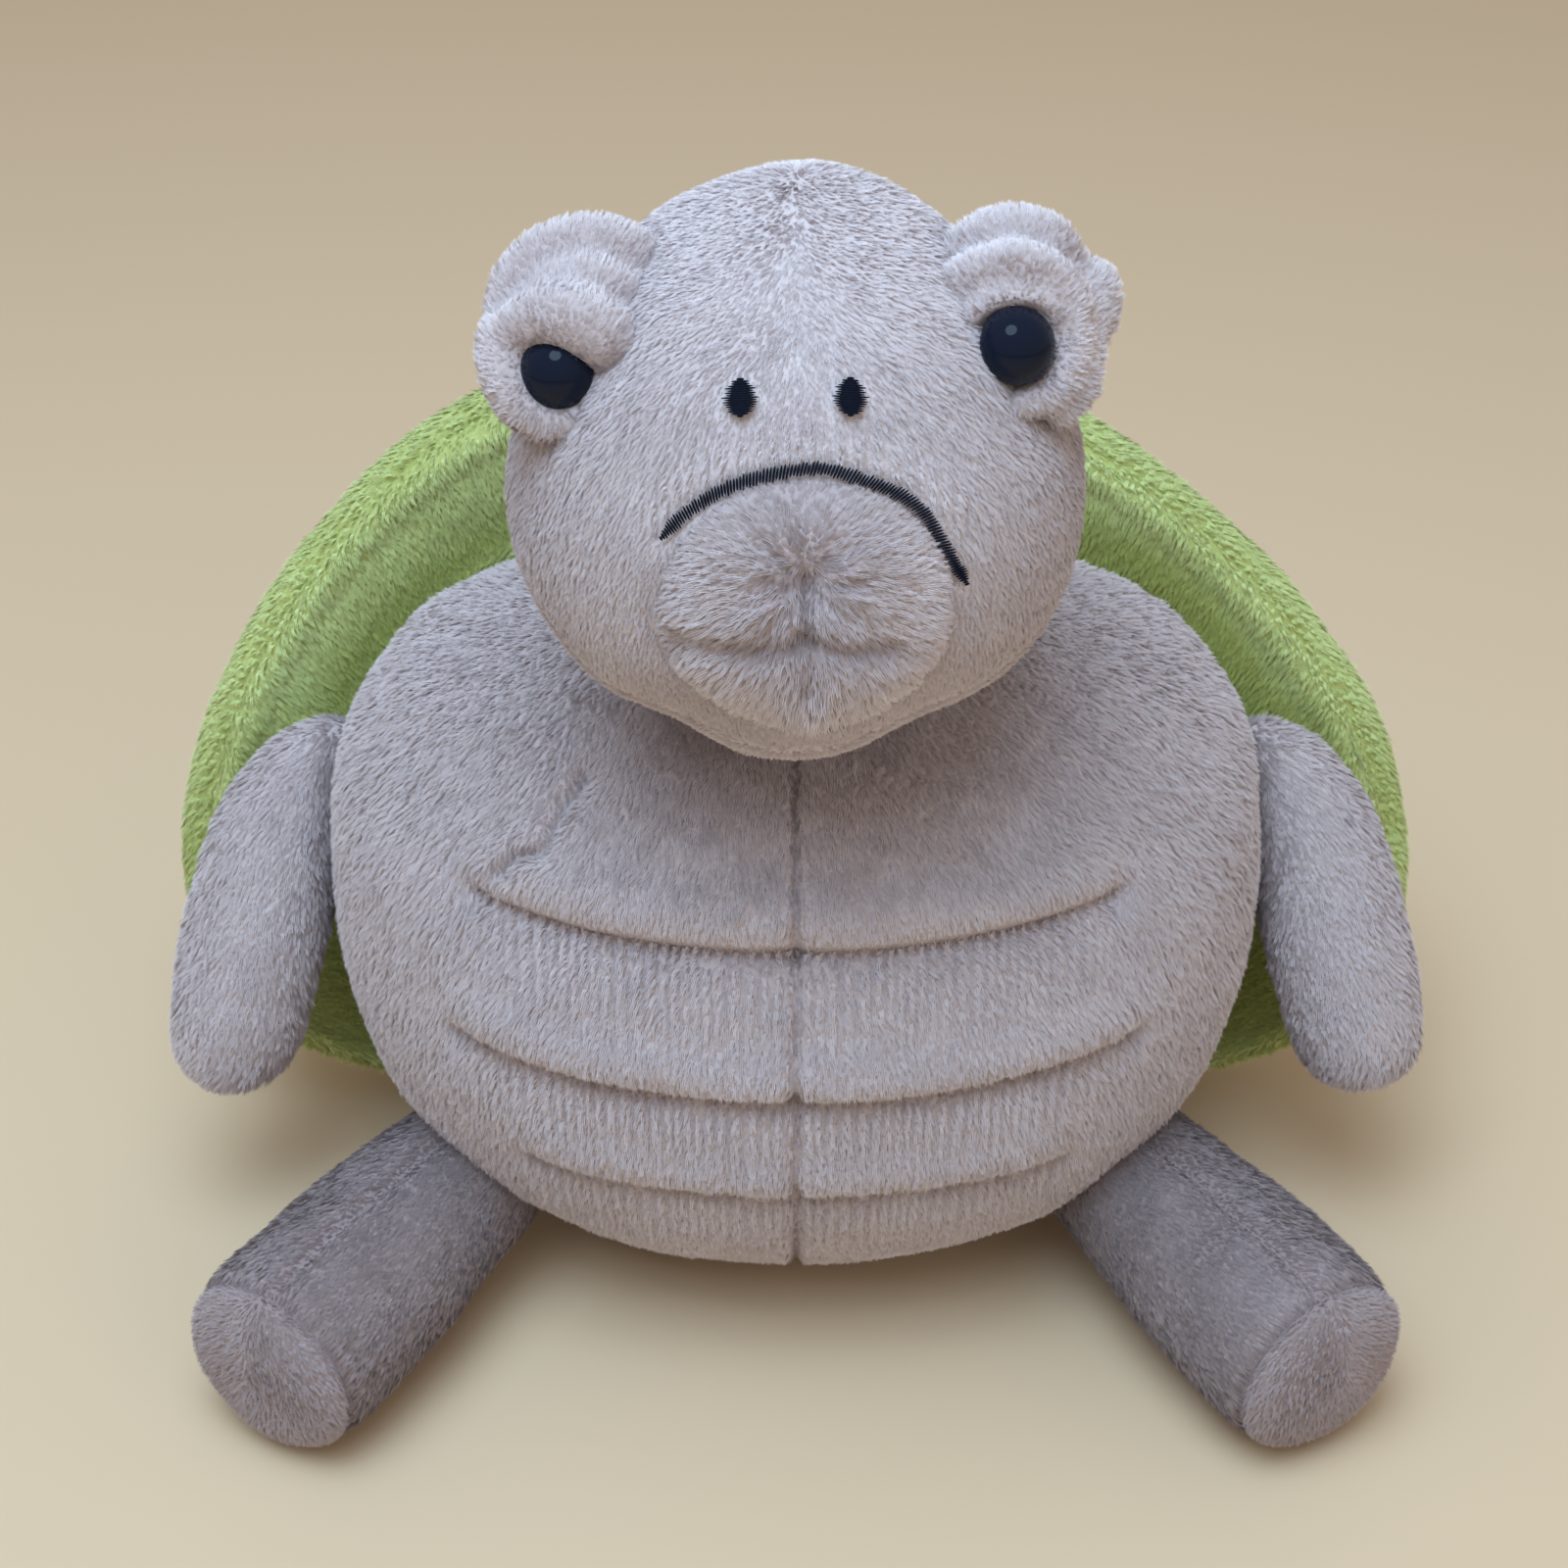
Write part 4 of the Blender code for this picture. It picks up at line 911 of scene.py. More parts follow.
class TURTLE_OT_body(bpy.types.Operator):
    """Makes the body's skin with its tucks, and the pile on its belly and back"""
    bl_idname = "turtle.body"
    bl_label = "Body"

    def execute(self, context):
        rings = body_rings(sides=300, rows=230)
        skin = closed_skin("body_skin", rings, (0, 0, 0), (0, 0, BODY_HEIGHT))
        points = read(skin)
        press(skin, SKIN_INSET + belly_relief(points) - 0.0006 * ripple(points, 0.022, 1))
        points = settle(skin, SKIN_GAP)
        points[:, 0] *= 1 - SHOULDER_TRIM * bell(points[:, 2] - SHOULDER_HEIGHT, 0.010)
        write(skin, points)

        x, y, z = points.T
        front = ease(-y, 0.0, 0.03)
        part = bell(x, 0.0018) * front
        flow = np.stack([0.9 * np.sign(x) * part + 0.25 * x / BODY_HALF_WIDTH, np.zeros(len(x)),
                         np.full(len(x), -1.0)], 1)
        lift = 29 + 7 * ripple(points, 0.009, 4)
        tint = 0.64 + 0.06 * ripple(points, 0.02, 2) - 0.50 * bell(x, 0.0007) * front
        height = 1 - 0.50 * bell(x, 0.0009) * front
        ribs = np.zeros(len(x))
        for level, spread, strength in TUCKS:
            rise = z - tuck_heights(points, level)
            fade = tuck_fade(points, spread, front) * strength
            ribs += fade * np.where(rise < 0.0004, np.exp(np.minimum(rise, 0) / 0.0078), 0)
            # Painted shade: the pile darkens along each tuck's crease, under the roll that overhangs it
            tint -= 0.80 * fade * bell(rise + 0.0002, 0.0011)
            height -= 0.68 * fade * bell(rise - 0.0010, 0.0017)
        # Painted shade along the chest's crease
        chest = bell(crease(points, CHEST_CREASE), 8) * (z > 0.09) * front
        tint -= 0.60 * chest
        lift = np.clip(lift + 12 * ribs, 15, 65)
        height = np.clip(height * (1 - 0.5 * chest), 0.3, 1)
        under_chin = bell(np.linalg.norm(points - np.array((0, -0.045, 0.128)), axis=1), 0.020)
        height += 0.45 * under_chin
        # Painted light: the chest under the chin is lighter, against the shadow that the head casts on it
        tint += 0.20 * bell(np.linalg.norm(points - np.array((0.01, -0.06, 0.112)), axis=1), 0.036)
        thick = ease(z, 0.0008, 0.004)
        comb(skin, flow, lift, tint, height, thick, ribs, x)
        dress(context, skin, "body",
              ["belly_panel_left", "belly_panel_right", "back_panel", "body_stuffing", "bean_pouch"])
        at = face_middles(skin)
        front_faces = at[:, 1] < SIDE_SEAM
        for name, chosen, seed, dense in (("belly_pile_left", front_faces & (at[:, 0] >= 0), 1, 1.0),
                                          ("belly_pile_right", front_faces & (at[:, 0] < 0), 2, 1.0),
                                          ("back_pile", ~front_faces, 3, 0.66)):
            grow_pile(context, name, skin, chosen, "body", seed, dense=dense)
        return {"FINISHED"}


class TURTLE_OT_shell(bpy.types.Operator):
    """Makes the padded shell with its rim seam, and the pile on its brim and dome"""
    bl_idname = "turtle.shell"
    bl_label = "Shell"

    def execute(self, context):
        rings, start, end = shell_rings(sides=300, rows=110)
        skin = closed_skin("shell_skin", rings, start, end)
        points = read(skin)
        across, rise, depth = shell_places(points)
        share = shell_share(across, rise)
        tilt = SHELL_RAISED * bell(across + 0.068, 0.046) - SHELL_LOWERED * bell(across - 0.095, 0.035)
        write(skin, points + (ease(rise, 0.0, 0.05) * tilt)[:, None] * SHELL_UP)
        face = ease(BRIM_EDGE * 0.9 - depth, 0.0, 0.002)
        rim = face * bell(share - SHELL_SEAM, 0.008)
        ridge = bell(across, 0.0014) * ease(depth, 0.012, 0.02)
        roll = face * bell(share - SHELL_SEAM + 0.035, 0.022)
        press(skin, SKIN_INSET + RIM_DEPTH * rim - ROLL_HEIGHT * roll + DOME_SEAM_DEPTH * ridge
              - 0.0008 * ripple(points, 0.026, 3))
        points = settle(skin, SHELL_GAP)

        outward = unit(across[:, None] * np.array((1, 0, 0)) / SHELL_HALF_WIDTH**2
                       + rise[:, None] * SHELL_UP / SHELL_RISE**2)
        inner = (face > 0.5) & (share < SHELL_SEAM)
        flow = np.where(inner[:, None], -outward * 0.8 - 0.6 * SHELL_UP, outward * 0.6 - 0.7 * SHELL_UP)
        tint = 0.62 + 0.08 * ripple(points, 0.02, 5) - 0.45 * rim - 0.2 * ridge
        # Painted shade: the inner brim darkens toward the body, and the shell darkens toward its lower edge
        tint -= 0.50 * face * ease(0.84 - share, 0, 0.18) + 0.40 * ease(0.015 - rise, 0, 0.05)
        inside, near = depth_in(points, "body_skin")
        # Painted contact shadow where the brim comes close to the body
        tint -= 0.45 * face * ease(0.020 - near, 0, 0.016)
        # Painted shadow along the lines where the brim meets shoulder and arm
        for line in BRIM_SHADOW_PIXELS:
            tint -= 0.42 * face * bell(crease(points, line), 36) * (points[:, 1] < 0.06)
        # Painted highlight along the raised roll just inside the rim seam
        tint += 0.16 * face * bell(share - SHELL_SEAM + 0.02, 0.014)
        # Painted shade on the inner brim, deeper on the viewer's right side
        tint -= (0.12 + 0.12 * ease(across, 0, 0.03)) * face * ease(0.90 - share, 0, 0.05)
        gathers = face * bell(share - SHELL_SEAM, 0.030)
        comb(skin, flow, 28 + 6 * ripple(points, 0.008, 6), tint, 1 - 0.4 * rim, ~inside, gathers,
             np.arctan2(rise, across) * SHELL_HALF_WIDTH)
        dress(context, skin, "body", ["shell_dome_left", "shell_dome_right", "shell_brim", "shell_stuffing"],
              "shell_cloth")
        across, rise, depth = shell_places(face_middles(skin))
        brim = (depth < BRIM_EDGE * 0.75) & (shell_share(across, rise) < 0.97)
        for name, chosen, seed, dense in (("brim_pile", brim, 11, 1.1),
                                          ("dome_pile_left", ~brim & (across >= 0), 12, 0.70),
                                          ("dome_pile_right", ~brim & (across < 0), 13, 0.70)):
            grow_pile(context, name, skin, chosen, "body", seed, "shell_pile", dense, 0.8)
        return {"FINISHED"}


class TURTLE_OT_neck(bpy.types.Operator):
    """Makes the short neck between body and head"""
    bl_idname = "turtle.neck"
    bl_label = "Neck"

    def execute(self, context):
        profile = arc(NECK_FOOT_RADIUS, 4, 100, 14) + [(NECK_LENGTH * 0.5, NECK_WAIST_RADIUS)]
        profile += [(NECK_LENGTH - h, r) for h, r in reversed(arc(NECK_TOP_RADIUS, 4, 100, 14))]
        course = smooth_path([(height, radius, 0) for height, radius in profile], 60)
        root, axis = np.array(NECK_ROOT), np.array(NECK_AXIS)
        side = np.array((1.0, 0, 0))
        other = np.cross(axis, side)
        angles = np.linspace(0, math.tau, 90, endpoint=False)[:, None]
        rings = np.array([root + axis * h + (side * np.cos(angles) + other * np.sin(angles)) * r
                          for h, r, _ in course])
        top = root + axis * NECK_LENGTH
        skin = closed_skin("neck_skin", rings, root - axis * NECK_FOOT_RADIUS, top + axis * NECK_TOP_RADIUS)
        press(skin, SKIN_INSET * 0.8)
        comb(skin, (0, -0.25, -1.0), 36, 0.58, 1.15)
        dress(context, skin, "neck", ["neck"])
        middle = (face_middles(skin) - root) @ axis
        chosen = (middle > 0.008) & (middle < NECK_LENGTH)
        grow_pile(context, "neck_pile", skin, chosen, "neck", 21, disorder=1.3)
        return {"FINISHED"}


class TURTLE_OT_head(bpy.types.Operator):
    """Makes the head's skin with the seam that runs round the lower face"""
    bl_idname = "turtle.head"
    bl_label = "Head"

    def execute(self, context):
        rings = head_rings(sides=200, rows=150)
        down = np.array((0, 0, HEAD_SIZE.z))
        skin = closed_skin("head_skin", rings, np.array(HEAD_MIDDLE) - down, np.array(HEAD_MIDDLE) + down)
        points = read(skin)
        front = ease(-(points[:, 1] - HEAD_MIDDLE.y), -0.01, 0.01)
        crown = ease(read(skin, "normal") @ UP, 0.5, 1.0)
        groove = FACE_SEAM_DEPTH * bell(face_seam(points), 0.0013) * front
        lips = LIP_DEPTH * bell(crease(points, MOUTH_PIXELS), 9) * front
        low = ease(HEAD_MIDDLE.z - points[:, 2], 0.012, 0.036)
        jaw = bell(np.abs(points[:, 0]) - 0.021, 0.010) * low * front
        press(skin, SKIN_INSET + groove + lips + JAW_DEPTH * jaw - CROWN_HEIGHT * crown
              - 0.0006 * ripple(points, 0.018, 7))
        dress(context, skin, "head", ["head_face_panel", "head_throat_panel", "head_stuffing"], "face_cloth")
        return {"FINISHED"}


class TURTLE_OT_chin(bpy.types.Operator):
    """Makes the pouch of the chin and lower lip, gathered at a dart in its middle"""
    bl_idname = "turtle.chin"
    bl_label = "Chin pouch"

    def execute(self, context):
        centre = Vector((0.0012, HEAD_MIDDLE.y - 0.0468 + LIP_SINK, HEAD_MIDDLE.z - 0.0019))
        size = Vector((LIP_SIZE.x * 0.93, LIP_SIZE.y, LIP_SIZE.z * 0.96))
        down = Vector((0, 0, size.z))
        rings = ball_rings(centre, size, sides=110, rows=79)
        skin = closed_skin("chin_skin", rings, centre - down, centre + down)
        points = read(skin)
        ahead = ease(centre.y - points[:, 1], -0.002, 0.006)
        out = (pixels(points) - DART_PIXEL) * (1, -1)
        dart = np.hypot(out[:, 0], out[:, 1] * 0.85)
        angle = np.arctan2(out[:, 1], out[:, 0])
        folds = 0.0005 * np.sin(angle * 8 + 1.0 + np.sin(angle * 3)) * bell(dart - 42, 38)
        line = crease(points, DART_LINE)
        lower = crease(points, LOWER_LIP_LINE)
        drawn = DART_DEPTH * bell(dart, 24) + folds
        drawn += DART_LINE_DEPTH * bell(line, 9) + LOWER_LIP_DEPTH * bell(lower, 12)
        press(skin, SKIN_INSET - CHIN_FULLNESS + ahead * drawn - 0.0005 * ripple(points, 0.012, 10))
        points = read(skin)
        at = pixels(points)
        flow = out[:, :1] * RIGHT + out[:, 1:] * UP + np.array((0, 0, -20.0))
        inside, near = depth_in(points, "head_skin")
        fold = bell(near, 0.0020) * (1 - 0.75 * ease(at[:, 1], 600, 700))
        # Painted shade: darker in the dart's gathered middle, along the lower lip's crease and where the chin
        # folds against the head, and lighter away from the dart and toward the chin's lower edge
        tint = 0.50 - 0.30 * bell(dart, 55) + 0.10 * ripple(points, 0.01, 11) - 0.30 * bell(lower, 12)
        tint += 0.24 * ease(dart, 60, 130) + 0.06 * ease(at[:, 1], 650, 720) - 0.30 * fold
        tint -= 0.2 * bell(line, 7)
        beard = bell(np.hypot(*(at - BEARD_PIXEL).T), 30)
        comb(skin, flow, 31 + 7 * ripple(points, 0.006, 12) + 14 * beard, tint,
             (0.95 + 0.6 * beard) * (1 - 0.35 * fold), ~inside)
        dress(context, skin, "head", ["chin_pouch"], "chin_cloth")
        chosen = face_middles(skin)[:, 1] < HEAD_MIDDLE.y - 0.030
        grow_pile(context, "chin_pile", skin, chosen, "head", 41)
        return {"FINISHED"}


# Each eye pouch as the photograph shows it: a core and the rolls of cloth that are folded over it.
# Every row is a pixel, a height toward the camera in millimetres and a radius in millimetres.
POUCHES = {
    "right": {
        "core": ((575, 343, -2), (12.6, 12.8, 9.6)),
        "rolls": [
            [(516, 314, 0, 4.1), (528, 284, 0.5, 4.4), (562, 257, 1, 4.8), (610, 247, 1, 4.8),
             (646, 262, 0, 4.6), (662, 300, -3, 4.0)],
            [(514, 346, 4.6, 3.9), (546, 327, 7.0, 4.8), (582, 325, 8.2, 5.8), (614, 342, 7.6, 5.8),
             (640, 356, 4.4, 4.8), (660, 386, 0, 3.4)],
            [(560, 290, 4.0, 3.4), (600, 283, 5.0, 3.8), (640, 300, 3.0, 3.8)],
            [(508, 345, 3.2, 4.0), (513, 380, 5.0, 4.3), (528, 412, 5.0, 4.0), (558, 430, 4.0, 3.6),
             (600, 422, 3.8, 3.5), (620, 398, 4.2, 3.4)],
        ],
        "eye": (569, 379, 5.0),
    },
    "left": {
        "core": ((1050, 335, -2), (12.4, 12.4, 9.0)),
        "rolls": [
            [(972, 266, -2, 3.8), (1000, 246, 0, 4.6), (1040, 238, 1, 4.9), (1072, 247, 1, 4.4),
             (1088, 262, 0, 3.5)],
            [(1112, 282, -2, 3.6), (1119, 292, -2, 4.2), (1120, 322, -2, 4.0), (1110, 348, -2, 3.3)],
            [(962, 300, 2.5, 3.9), (1000, 279, 5.6, 4.1), (1038, 269, 7.0, 3.9), (1070, 278, 6.6, 3.6),
             (1091, 302, 5.4, 3.5), (1097, 338, 4.6, 3.4), (1090, 375, 4.2, 3.5), (1070, 402, 4.2, 3.4),
             (1035, 414, 4.0, 3.2)],
            [(978, 340, 5.4, 2.3), (1000, 315, 7.2, 2.3), (1034, 302, 8.2, 2.2), (1064, 306, 8.0, 2.0),
             (1084, 328, 6.6, 1.9)],
            [(1112, 362, 0.5, 3.0), (1104, 396, 1.0, 3.2), (1082, 420, 1.4, 3.2)],
        ],
        "eye": (1037, 353, 6.6),
    },
}
EYE_AIM = Vector((0.42, -0.76, 0.50))
EYE_HEIGHT = 0.0056
EYE_STEM = 0.0146
STEM_RADIUS = 0.0015
POUCH_GRAIN = 0.00066
POUCH_SMOOTHING = 26


def pouch_depth(word):
    """How far the middle of the pouch's solid lies from the camera."""
    side = 1 if word == "left" else -1
    solid = HEAD_MIDDLE + Vector((side * 0.765 * HEAD_SIZE.x, -0.22 * HEAD_SIZE.y, 0.585 * HEAD_SIZE.z))
    return (solid - VIEW_FROM).dot(VIEW_AHEAD)


def at_pixel(x, y, depth):
    """The place at a pixel of the photograph and a depth from its camera."""
    across = (x - MIDDLE_PIXEL.x) / FOCAL_PIXELS * depth
    up = (MIDDLE_PIXEL.y - y) / FOCAL_PIXELS * depth
    return VIEW_FROM + VIEW_AHEAD * depth + VIEW_RIGHT * across + VIEW_UP * up


class TURTLE_OT_pouches(bpy.types.Operator):
    """Makes the folded pouches round the eyes, with their hoods and brows"""
    bl_idname = "turtle.pouches"
    bl_label = "Eye pouches"

    def execute(self, context):
        view = np.array(Matrix((VIEW_RIGHT, VIEW_UP, -VIEW_AHEAD)).transposed())
        for side, word in SIDES:
            pouch = POUCHES[word]
            depth = pouch_depth(word)
            (x, y, near), radii = pouch["core"]
            eggs = [(at_pixel(x, y, depth - near / 1000), view @ np.diag(radii) / 1000)]
            for roll in pouch["rolls"]:
                rows = [(*at_pixel(x, y, depth - near / 1000), radius / 1000) for x, y, near, radius in roll]
                eggs += [(row[:3], np.eye(3) * row[3]) for row in smooth_path(rows, len(rows) * 6)]
            skin = fuse("pouch_skin_" + word, eggs, POUCH_GRAIN, POUCH_SMOOTHING)
            press(skin, SKIN_INSET * 0.5)
            x, y, near = pouch["eye"]
            eye_place = np.array(at_pixel(x, y, depth - near / 1000))
            points = read(skin)
            from_eye = points - eye_place
            gap = np.linalg.norm(from_eye, axis=1)
            flow = unit(from_eye) + np.array((0, 0, 0.15))
            hollow = np.clip(curvature(skin), 0, 1)
            inside, near = depth_in(points, "head_skin")
            # Painted light and shade: darker in the folds, where the pouch meets the head, round the eye's
            # socket and below the eye, and lighter where the pouch faces up
            tint = 0.88 + 0.06 * ripple(points, 0.01, 13) - 0.65 * hollow
            tint += 0.25 * ease(read(skin, "normal") @ UP, 0.1, 0.9) - 0.2 * bell(near, 0.0018)
            tint -= 0.35 * bell(gap - 0.0065, 0.0016) + 0.28 * ease(-from_eye @ UP, 0.001, 0.007)
            height = 0.78 - 0.36 * bell(gap, 0.0085) - 0.2 * hollow
            comb(skin, flow, 30 + 6 * ripple(points, 0.006, 14), tint, height, ~inside & (gap > 0.0044))
            dress(context, skin, "head", ["eye_mound_" + word, "eyelid_" + word])
            grow_pile(context, "pouch_pile_" + word, skin, None, "head", 50 + side, dense=1.2, disorder=0.8)
        return {"FINISHED"}


class TURTLE_OT_face_pile(bpy.types.Operator):
    """Grows the pile on face and throat, shorter where the mouth, the chin and the pouches meet it"""
    bl_idname = "turtle.face_pile"
    bl_label = "Face pile"

    def execute(self, context):
        skin = bpy.data.objects["head_skin"]
        points = read(skin)
        seam = face_seam(points)
        on_face = seam < 0
        away = points - np.array(HEAD_MIDDLE)
        crown = ease(read(skin, "normal")[:, 2], 0.45, 0.95)
        sideways = 0.7 * np.tanh(points[:, 0] / 0.012) * crown + 0.4 * points[:, 0] / HEAD_SIZE.x
        down = np.stack([sideways, np.full(len(points), -0.1), np.full(len(points), -1.0)], 1)
        flow = np.where(on_face[:, None], down, (0, 1.0, 0.25))
        inside, near = depth_in(points, "chin_skin", "pouch_skin_left", "pouch_skin_right")
        fold = bell(near, 0.0016) * (1 - 0.7 * ease(-away[:, 2], 0.006, 0.018))
        mouth = crease(points, MOUTH_PIXELS)
        front = away[:, 1] < 0
        nostrils = np.minimum(*(np.hypot(*(pixels(points) - np.array(NOSTRIL_PIXELS[word])).T)
                                for _, word in SIDES))
        trim = np.maximum(bell(np.maximum(mouth - 4, 0), 7), bell(np.maximum(nostrils - 20, 0), 8)) * front
        tint = np.where(on_face, 0.62, 0.58) + 0.06 * ripple(points, 0.014, 8)
        # Painted light toward the top of the head, painted shade in the folds against the chin and the
        # pouches, and darker where the pile is trimmed round the mouth and nostrils
        tint += 0.46 * ease(away[:, 2], 0.023, 0.046) - 0.34 * fold - 0.25 * trim
        # Painted shade on the lower sides of the head
        tint -= 0.14 * ease(np.abs(away[:, 0]), 0.030, 0.046) * (away[:, 2] < 0.01)
        lift = 29 + 7 * ripple(points, 0.008, 9) + 12 * bell(seam, 0.002)
        tint -= 0.28 * bell(seam, 0.0010)
        height = (0.74 - 0.30 * bell(seam, 0.0015)) * (1 - 0.62 * trim) * (1 - 0.3 * fold)
        at = pixels(points)
        gathers = 0.45 * bell(mouth - 26, 22) * (at[:, 1] < 545) * (np.abs(at[:, 0] - 822) < 165) * front
        comb(skin, flow, lift, tint, height, ~inside, gathers, points[:, 0])
        chosen = face_seam(face_middles(skin)) < 0
        for name, faces, seed, dense in (("face_pile", chosen, 31, 1.4), ("throat_pile", ~chosen, 32, 1.1)):
            grow_pile(context, name, skin, faces, "head", seed, dense=dense, disorder=0.78)
        return {"FINISHED"}


def depth_in(points, *names):
    """Which points lie inside any of these skins, and how far each is from the nearest one."""
    inside = np.zeros(len(points), bool)
    near = np.full(len(points), 1.0)
    for name in names:
        tree = surface(bpy.data.objects[name])
        for k, point in enumerate(points):
            place, normal, _, distance = tree.find_nearest(Vector(point), 0.02)
            if place is not None:
                near[k] = min(near[k], distance)
                inside[k] |= distance > 0.0012 and (Vector(point) - place).dot(normal) < 0
    return inside, near


def curvature(item):
    """How hollow the skin is at each point: near 1 in a fold, negative on a swell."""
    mesh = item.data
    points, normals = read(item), read(item, "normal")
    edges = np.empty(len(mesh.edges) * 2, np.int32)
    mesh.edges.foreach_get("vertices", edges)
    edges = edges.reshape(-1, 2)
    total = np.zeros_like(points)
    count = np.zeros(len(points))
    for a, b in ((0, 1), (1, 0)):
        np.add.at(total, edges[:, a], points[edges[:, b]])
        np.add.at(count, edges[:, a], 1)
    hollow = ((total / count[:, None] - points) * normals).sum(1) / 0.00012
    for _ in range(4):
        spread = np.zeros(len(points))
        for a, b in ((0, 1), (1, 0)):
            np.add.at(spread, edges[:, a], hollow[edges[:, b]])
        hollow = 0.5 * hollow + 0.5 * spread / count
    return hollow


class TURTLE_OT_eyes(bpy.types.Operator):
    """Makes the glossy domed eyes and gives their washers a finish"""
    bl_idname = "turtle.eyes"
    bl_label = "Eyes"

    def execute(self, context):
        radius = context.scene.turtle_face.eye_radius
        for side, word in SIDES:
            x, y, near = POUCHES[word]["eye"]
            place = at_pixel(x, y, pouch_depth(word) - near / 1000)
            aim = EYE_AIM.normalized()
            aim.x *= side
            turn = aim.to_track_quat("Z", "Y").to_matrix().to_4x4()
            profile = [(-EYE_STEM, STEM_RADIUS), (-0.0012, STEM_RADIUS), (-0.0011, radius * 0.93),
                       (-0.0006, radius * 0.99)]
            for k in range(15):
                angle = math.pi / 2 * k / 15
                profile.append((EYE_HEIGHT * math.sin(angle), radius * math.cos(angle)))
            angles = np.linspace(0, math.tau, 64, endpoint=False)
            rings = np.array([[(r * math.cos(a), r * math.sin(a), h) for a in angles] for h, r in profile])
            dome = closed_skin("eye_dome_" + word, rings, (0, 0, -EYE_STEM), (0, 0, EYE_HEIGHT))
            dome.data.transform(Matrix.Translation(place) @ turn)
            dome.data.materials.append(cover_of(context, "eye"))
            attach(dome, "head")
            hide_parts("eye_" + word)
            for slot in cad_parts["eye_washer_" + word].material_slots:
                slot.material = cover_of(context, "eye")
        return {"FINISHED"}


def thread_tree():
    """Satin stitches laid side by side, each a rounded thread across the line's own width."""
    tree, value = geometry_tree("satin_stitch", [
        ("Thread Width", "NodeSocketFloat"), ("Seed", "NodeSocketInt"), ("Material", "NodeSocketMaterial")])
    points = tree.node("GeometryNodeMeshToPoints", None, {"Mesh": value["Geometry"]})[0]
    aim = tree.attribute("across", "FLOAT_VECTOR")
    up = tree.attribute("upright", "FLOAT_VECTOR")
    turn = tree.node("FunctionNodeAxesToRotation", {"primary_axis": "Z", "secondary_axis": "Y"},
                     {"Primary Axis": aim, "Secondary Axis": up})[0]
    thread = tree.node("GeometryNodeMeshUVSphere", None, {"Segments": 8, "Rings": 9, "Radius": 0.5})[0]
    width = value["Thread Width"]
    size = tree.join(width, width, tree.attribute("reach") * tree.random(0.78, 1.18, 2))
    rows = tree.node("GeometryNodeInstanceOnPoints", None, {
        "Points": points, "Instance": thread, "Rotation": turn, "Scale": size})[0]
    rows = tree.node("GeometryNodeRealizeInstances", None, {"Geometry": rows})[0]
    rows = tree.node("GeometryNodeSetShadeSmooth", None, {0: rows})[0]
    return close_tree(tree, rows, value["Material"])


def stitches(context, name, places, across, upright, reach, seed):
    """A row of stitches, each at its place, along its own direction and as long as its reach."""
    mesh = bpy.data.meshes.new(name)
    mesh.from_pydata([tuple(p) for p in places], [], [])
    keep_values(mesh, across=across, upright=upright, reach=reach)
    if "thread" not in TREES:
        TREES["thread"] = thread_tree()
    item = run_tree(link(name, mesh), TREES["thread"], {
        "Thread Width": context.scene.turtle_face.thread_width, "Seed": seed,
        "Material": cover_of(context, "thread")})
    drop_values(item.data, ("across", "upright", "reach"))
    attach(item, "head")
    return item


class TURTLE_OT_stitches(bpy.types.Operator):
    """Stitches the mouth and the nostrils in satin thread"""
    bl_idname = "turtle.stitches"
    bl_label = "Face stitches"

    def execute(self, context):
        head = bpy.data.objects["head_skin"]
        spots = [seat(head, *pixel) for pixel in MOUTH_PIXELS]
        line = smooth_path([tuple(place) for place, _ in spots], MOUTH_STITCHES)
        upright = smooth_path([(*place, *normal) for place, normal in spots], MOUTH_STITCHES)
        upright = unit(upright[:, 3:])
        ahead = unit(np.gradient(line, axis=0))
        across = unit(np.cross(upright, ahead) + 0.32 * ahead)
        order = np.arange(MOUTH_STITCHES)
        ends = np.minimum(order, order[::-1])
        reach = MOUTH_WIDTH * np.clip(0.4 + ends / 9, 0, 1)
        places = line + upright * MOUTH_LIFT
        mouth = stitches(context, "mouth_stitches", places, across, upright, reach, 1)
        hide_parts("mouth_line")
        for _, word in SIDES:
            place, normal = seat(head, *NOSTRIL_PIXELS[word])
            side = Vector((1, 0, 0))
            side = (side - normal * side.dot(normal)).normalized()
            up = normal.cross(side)
            if up.z < 0:
                up.negate()
            steps = np.linspace(-1, 1, NOSTRIL_STITCHES)
            places = [place + up * (NOSTRIL_HALF_HEIGHT * t) + normal * NOSTRIL_LIFT for t in steps]
            reach = NOSTRIL_WIDTH * np.sqrt(np.clip(1.04 - steps**2, 0.05, 1))
            across, upright = (np.tile(way, (NOSTRIL_STITCHES, 1)) for way in (side, normal))
            nostril = stitches(context, "nostril_stitches_" + word, places, across, upright, reach, 3)
            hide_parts("nostril_" + word)
        return {"FINISHED"}


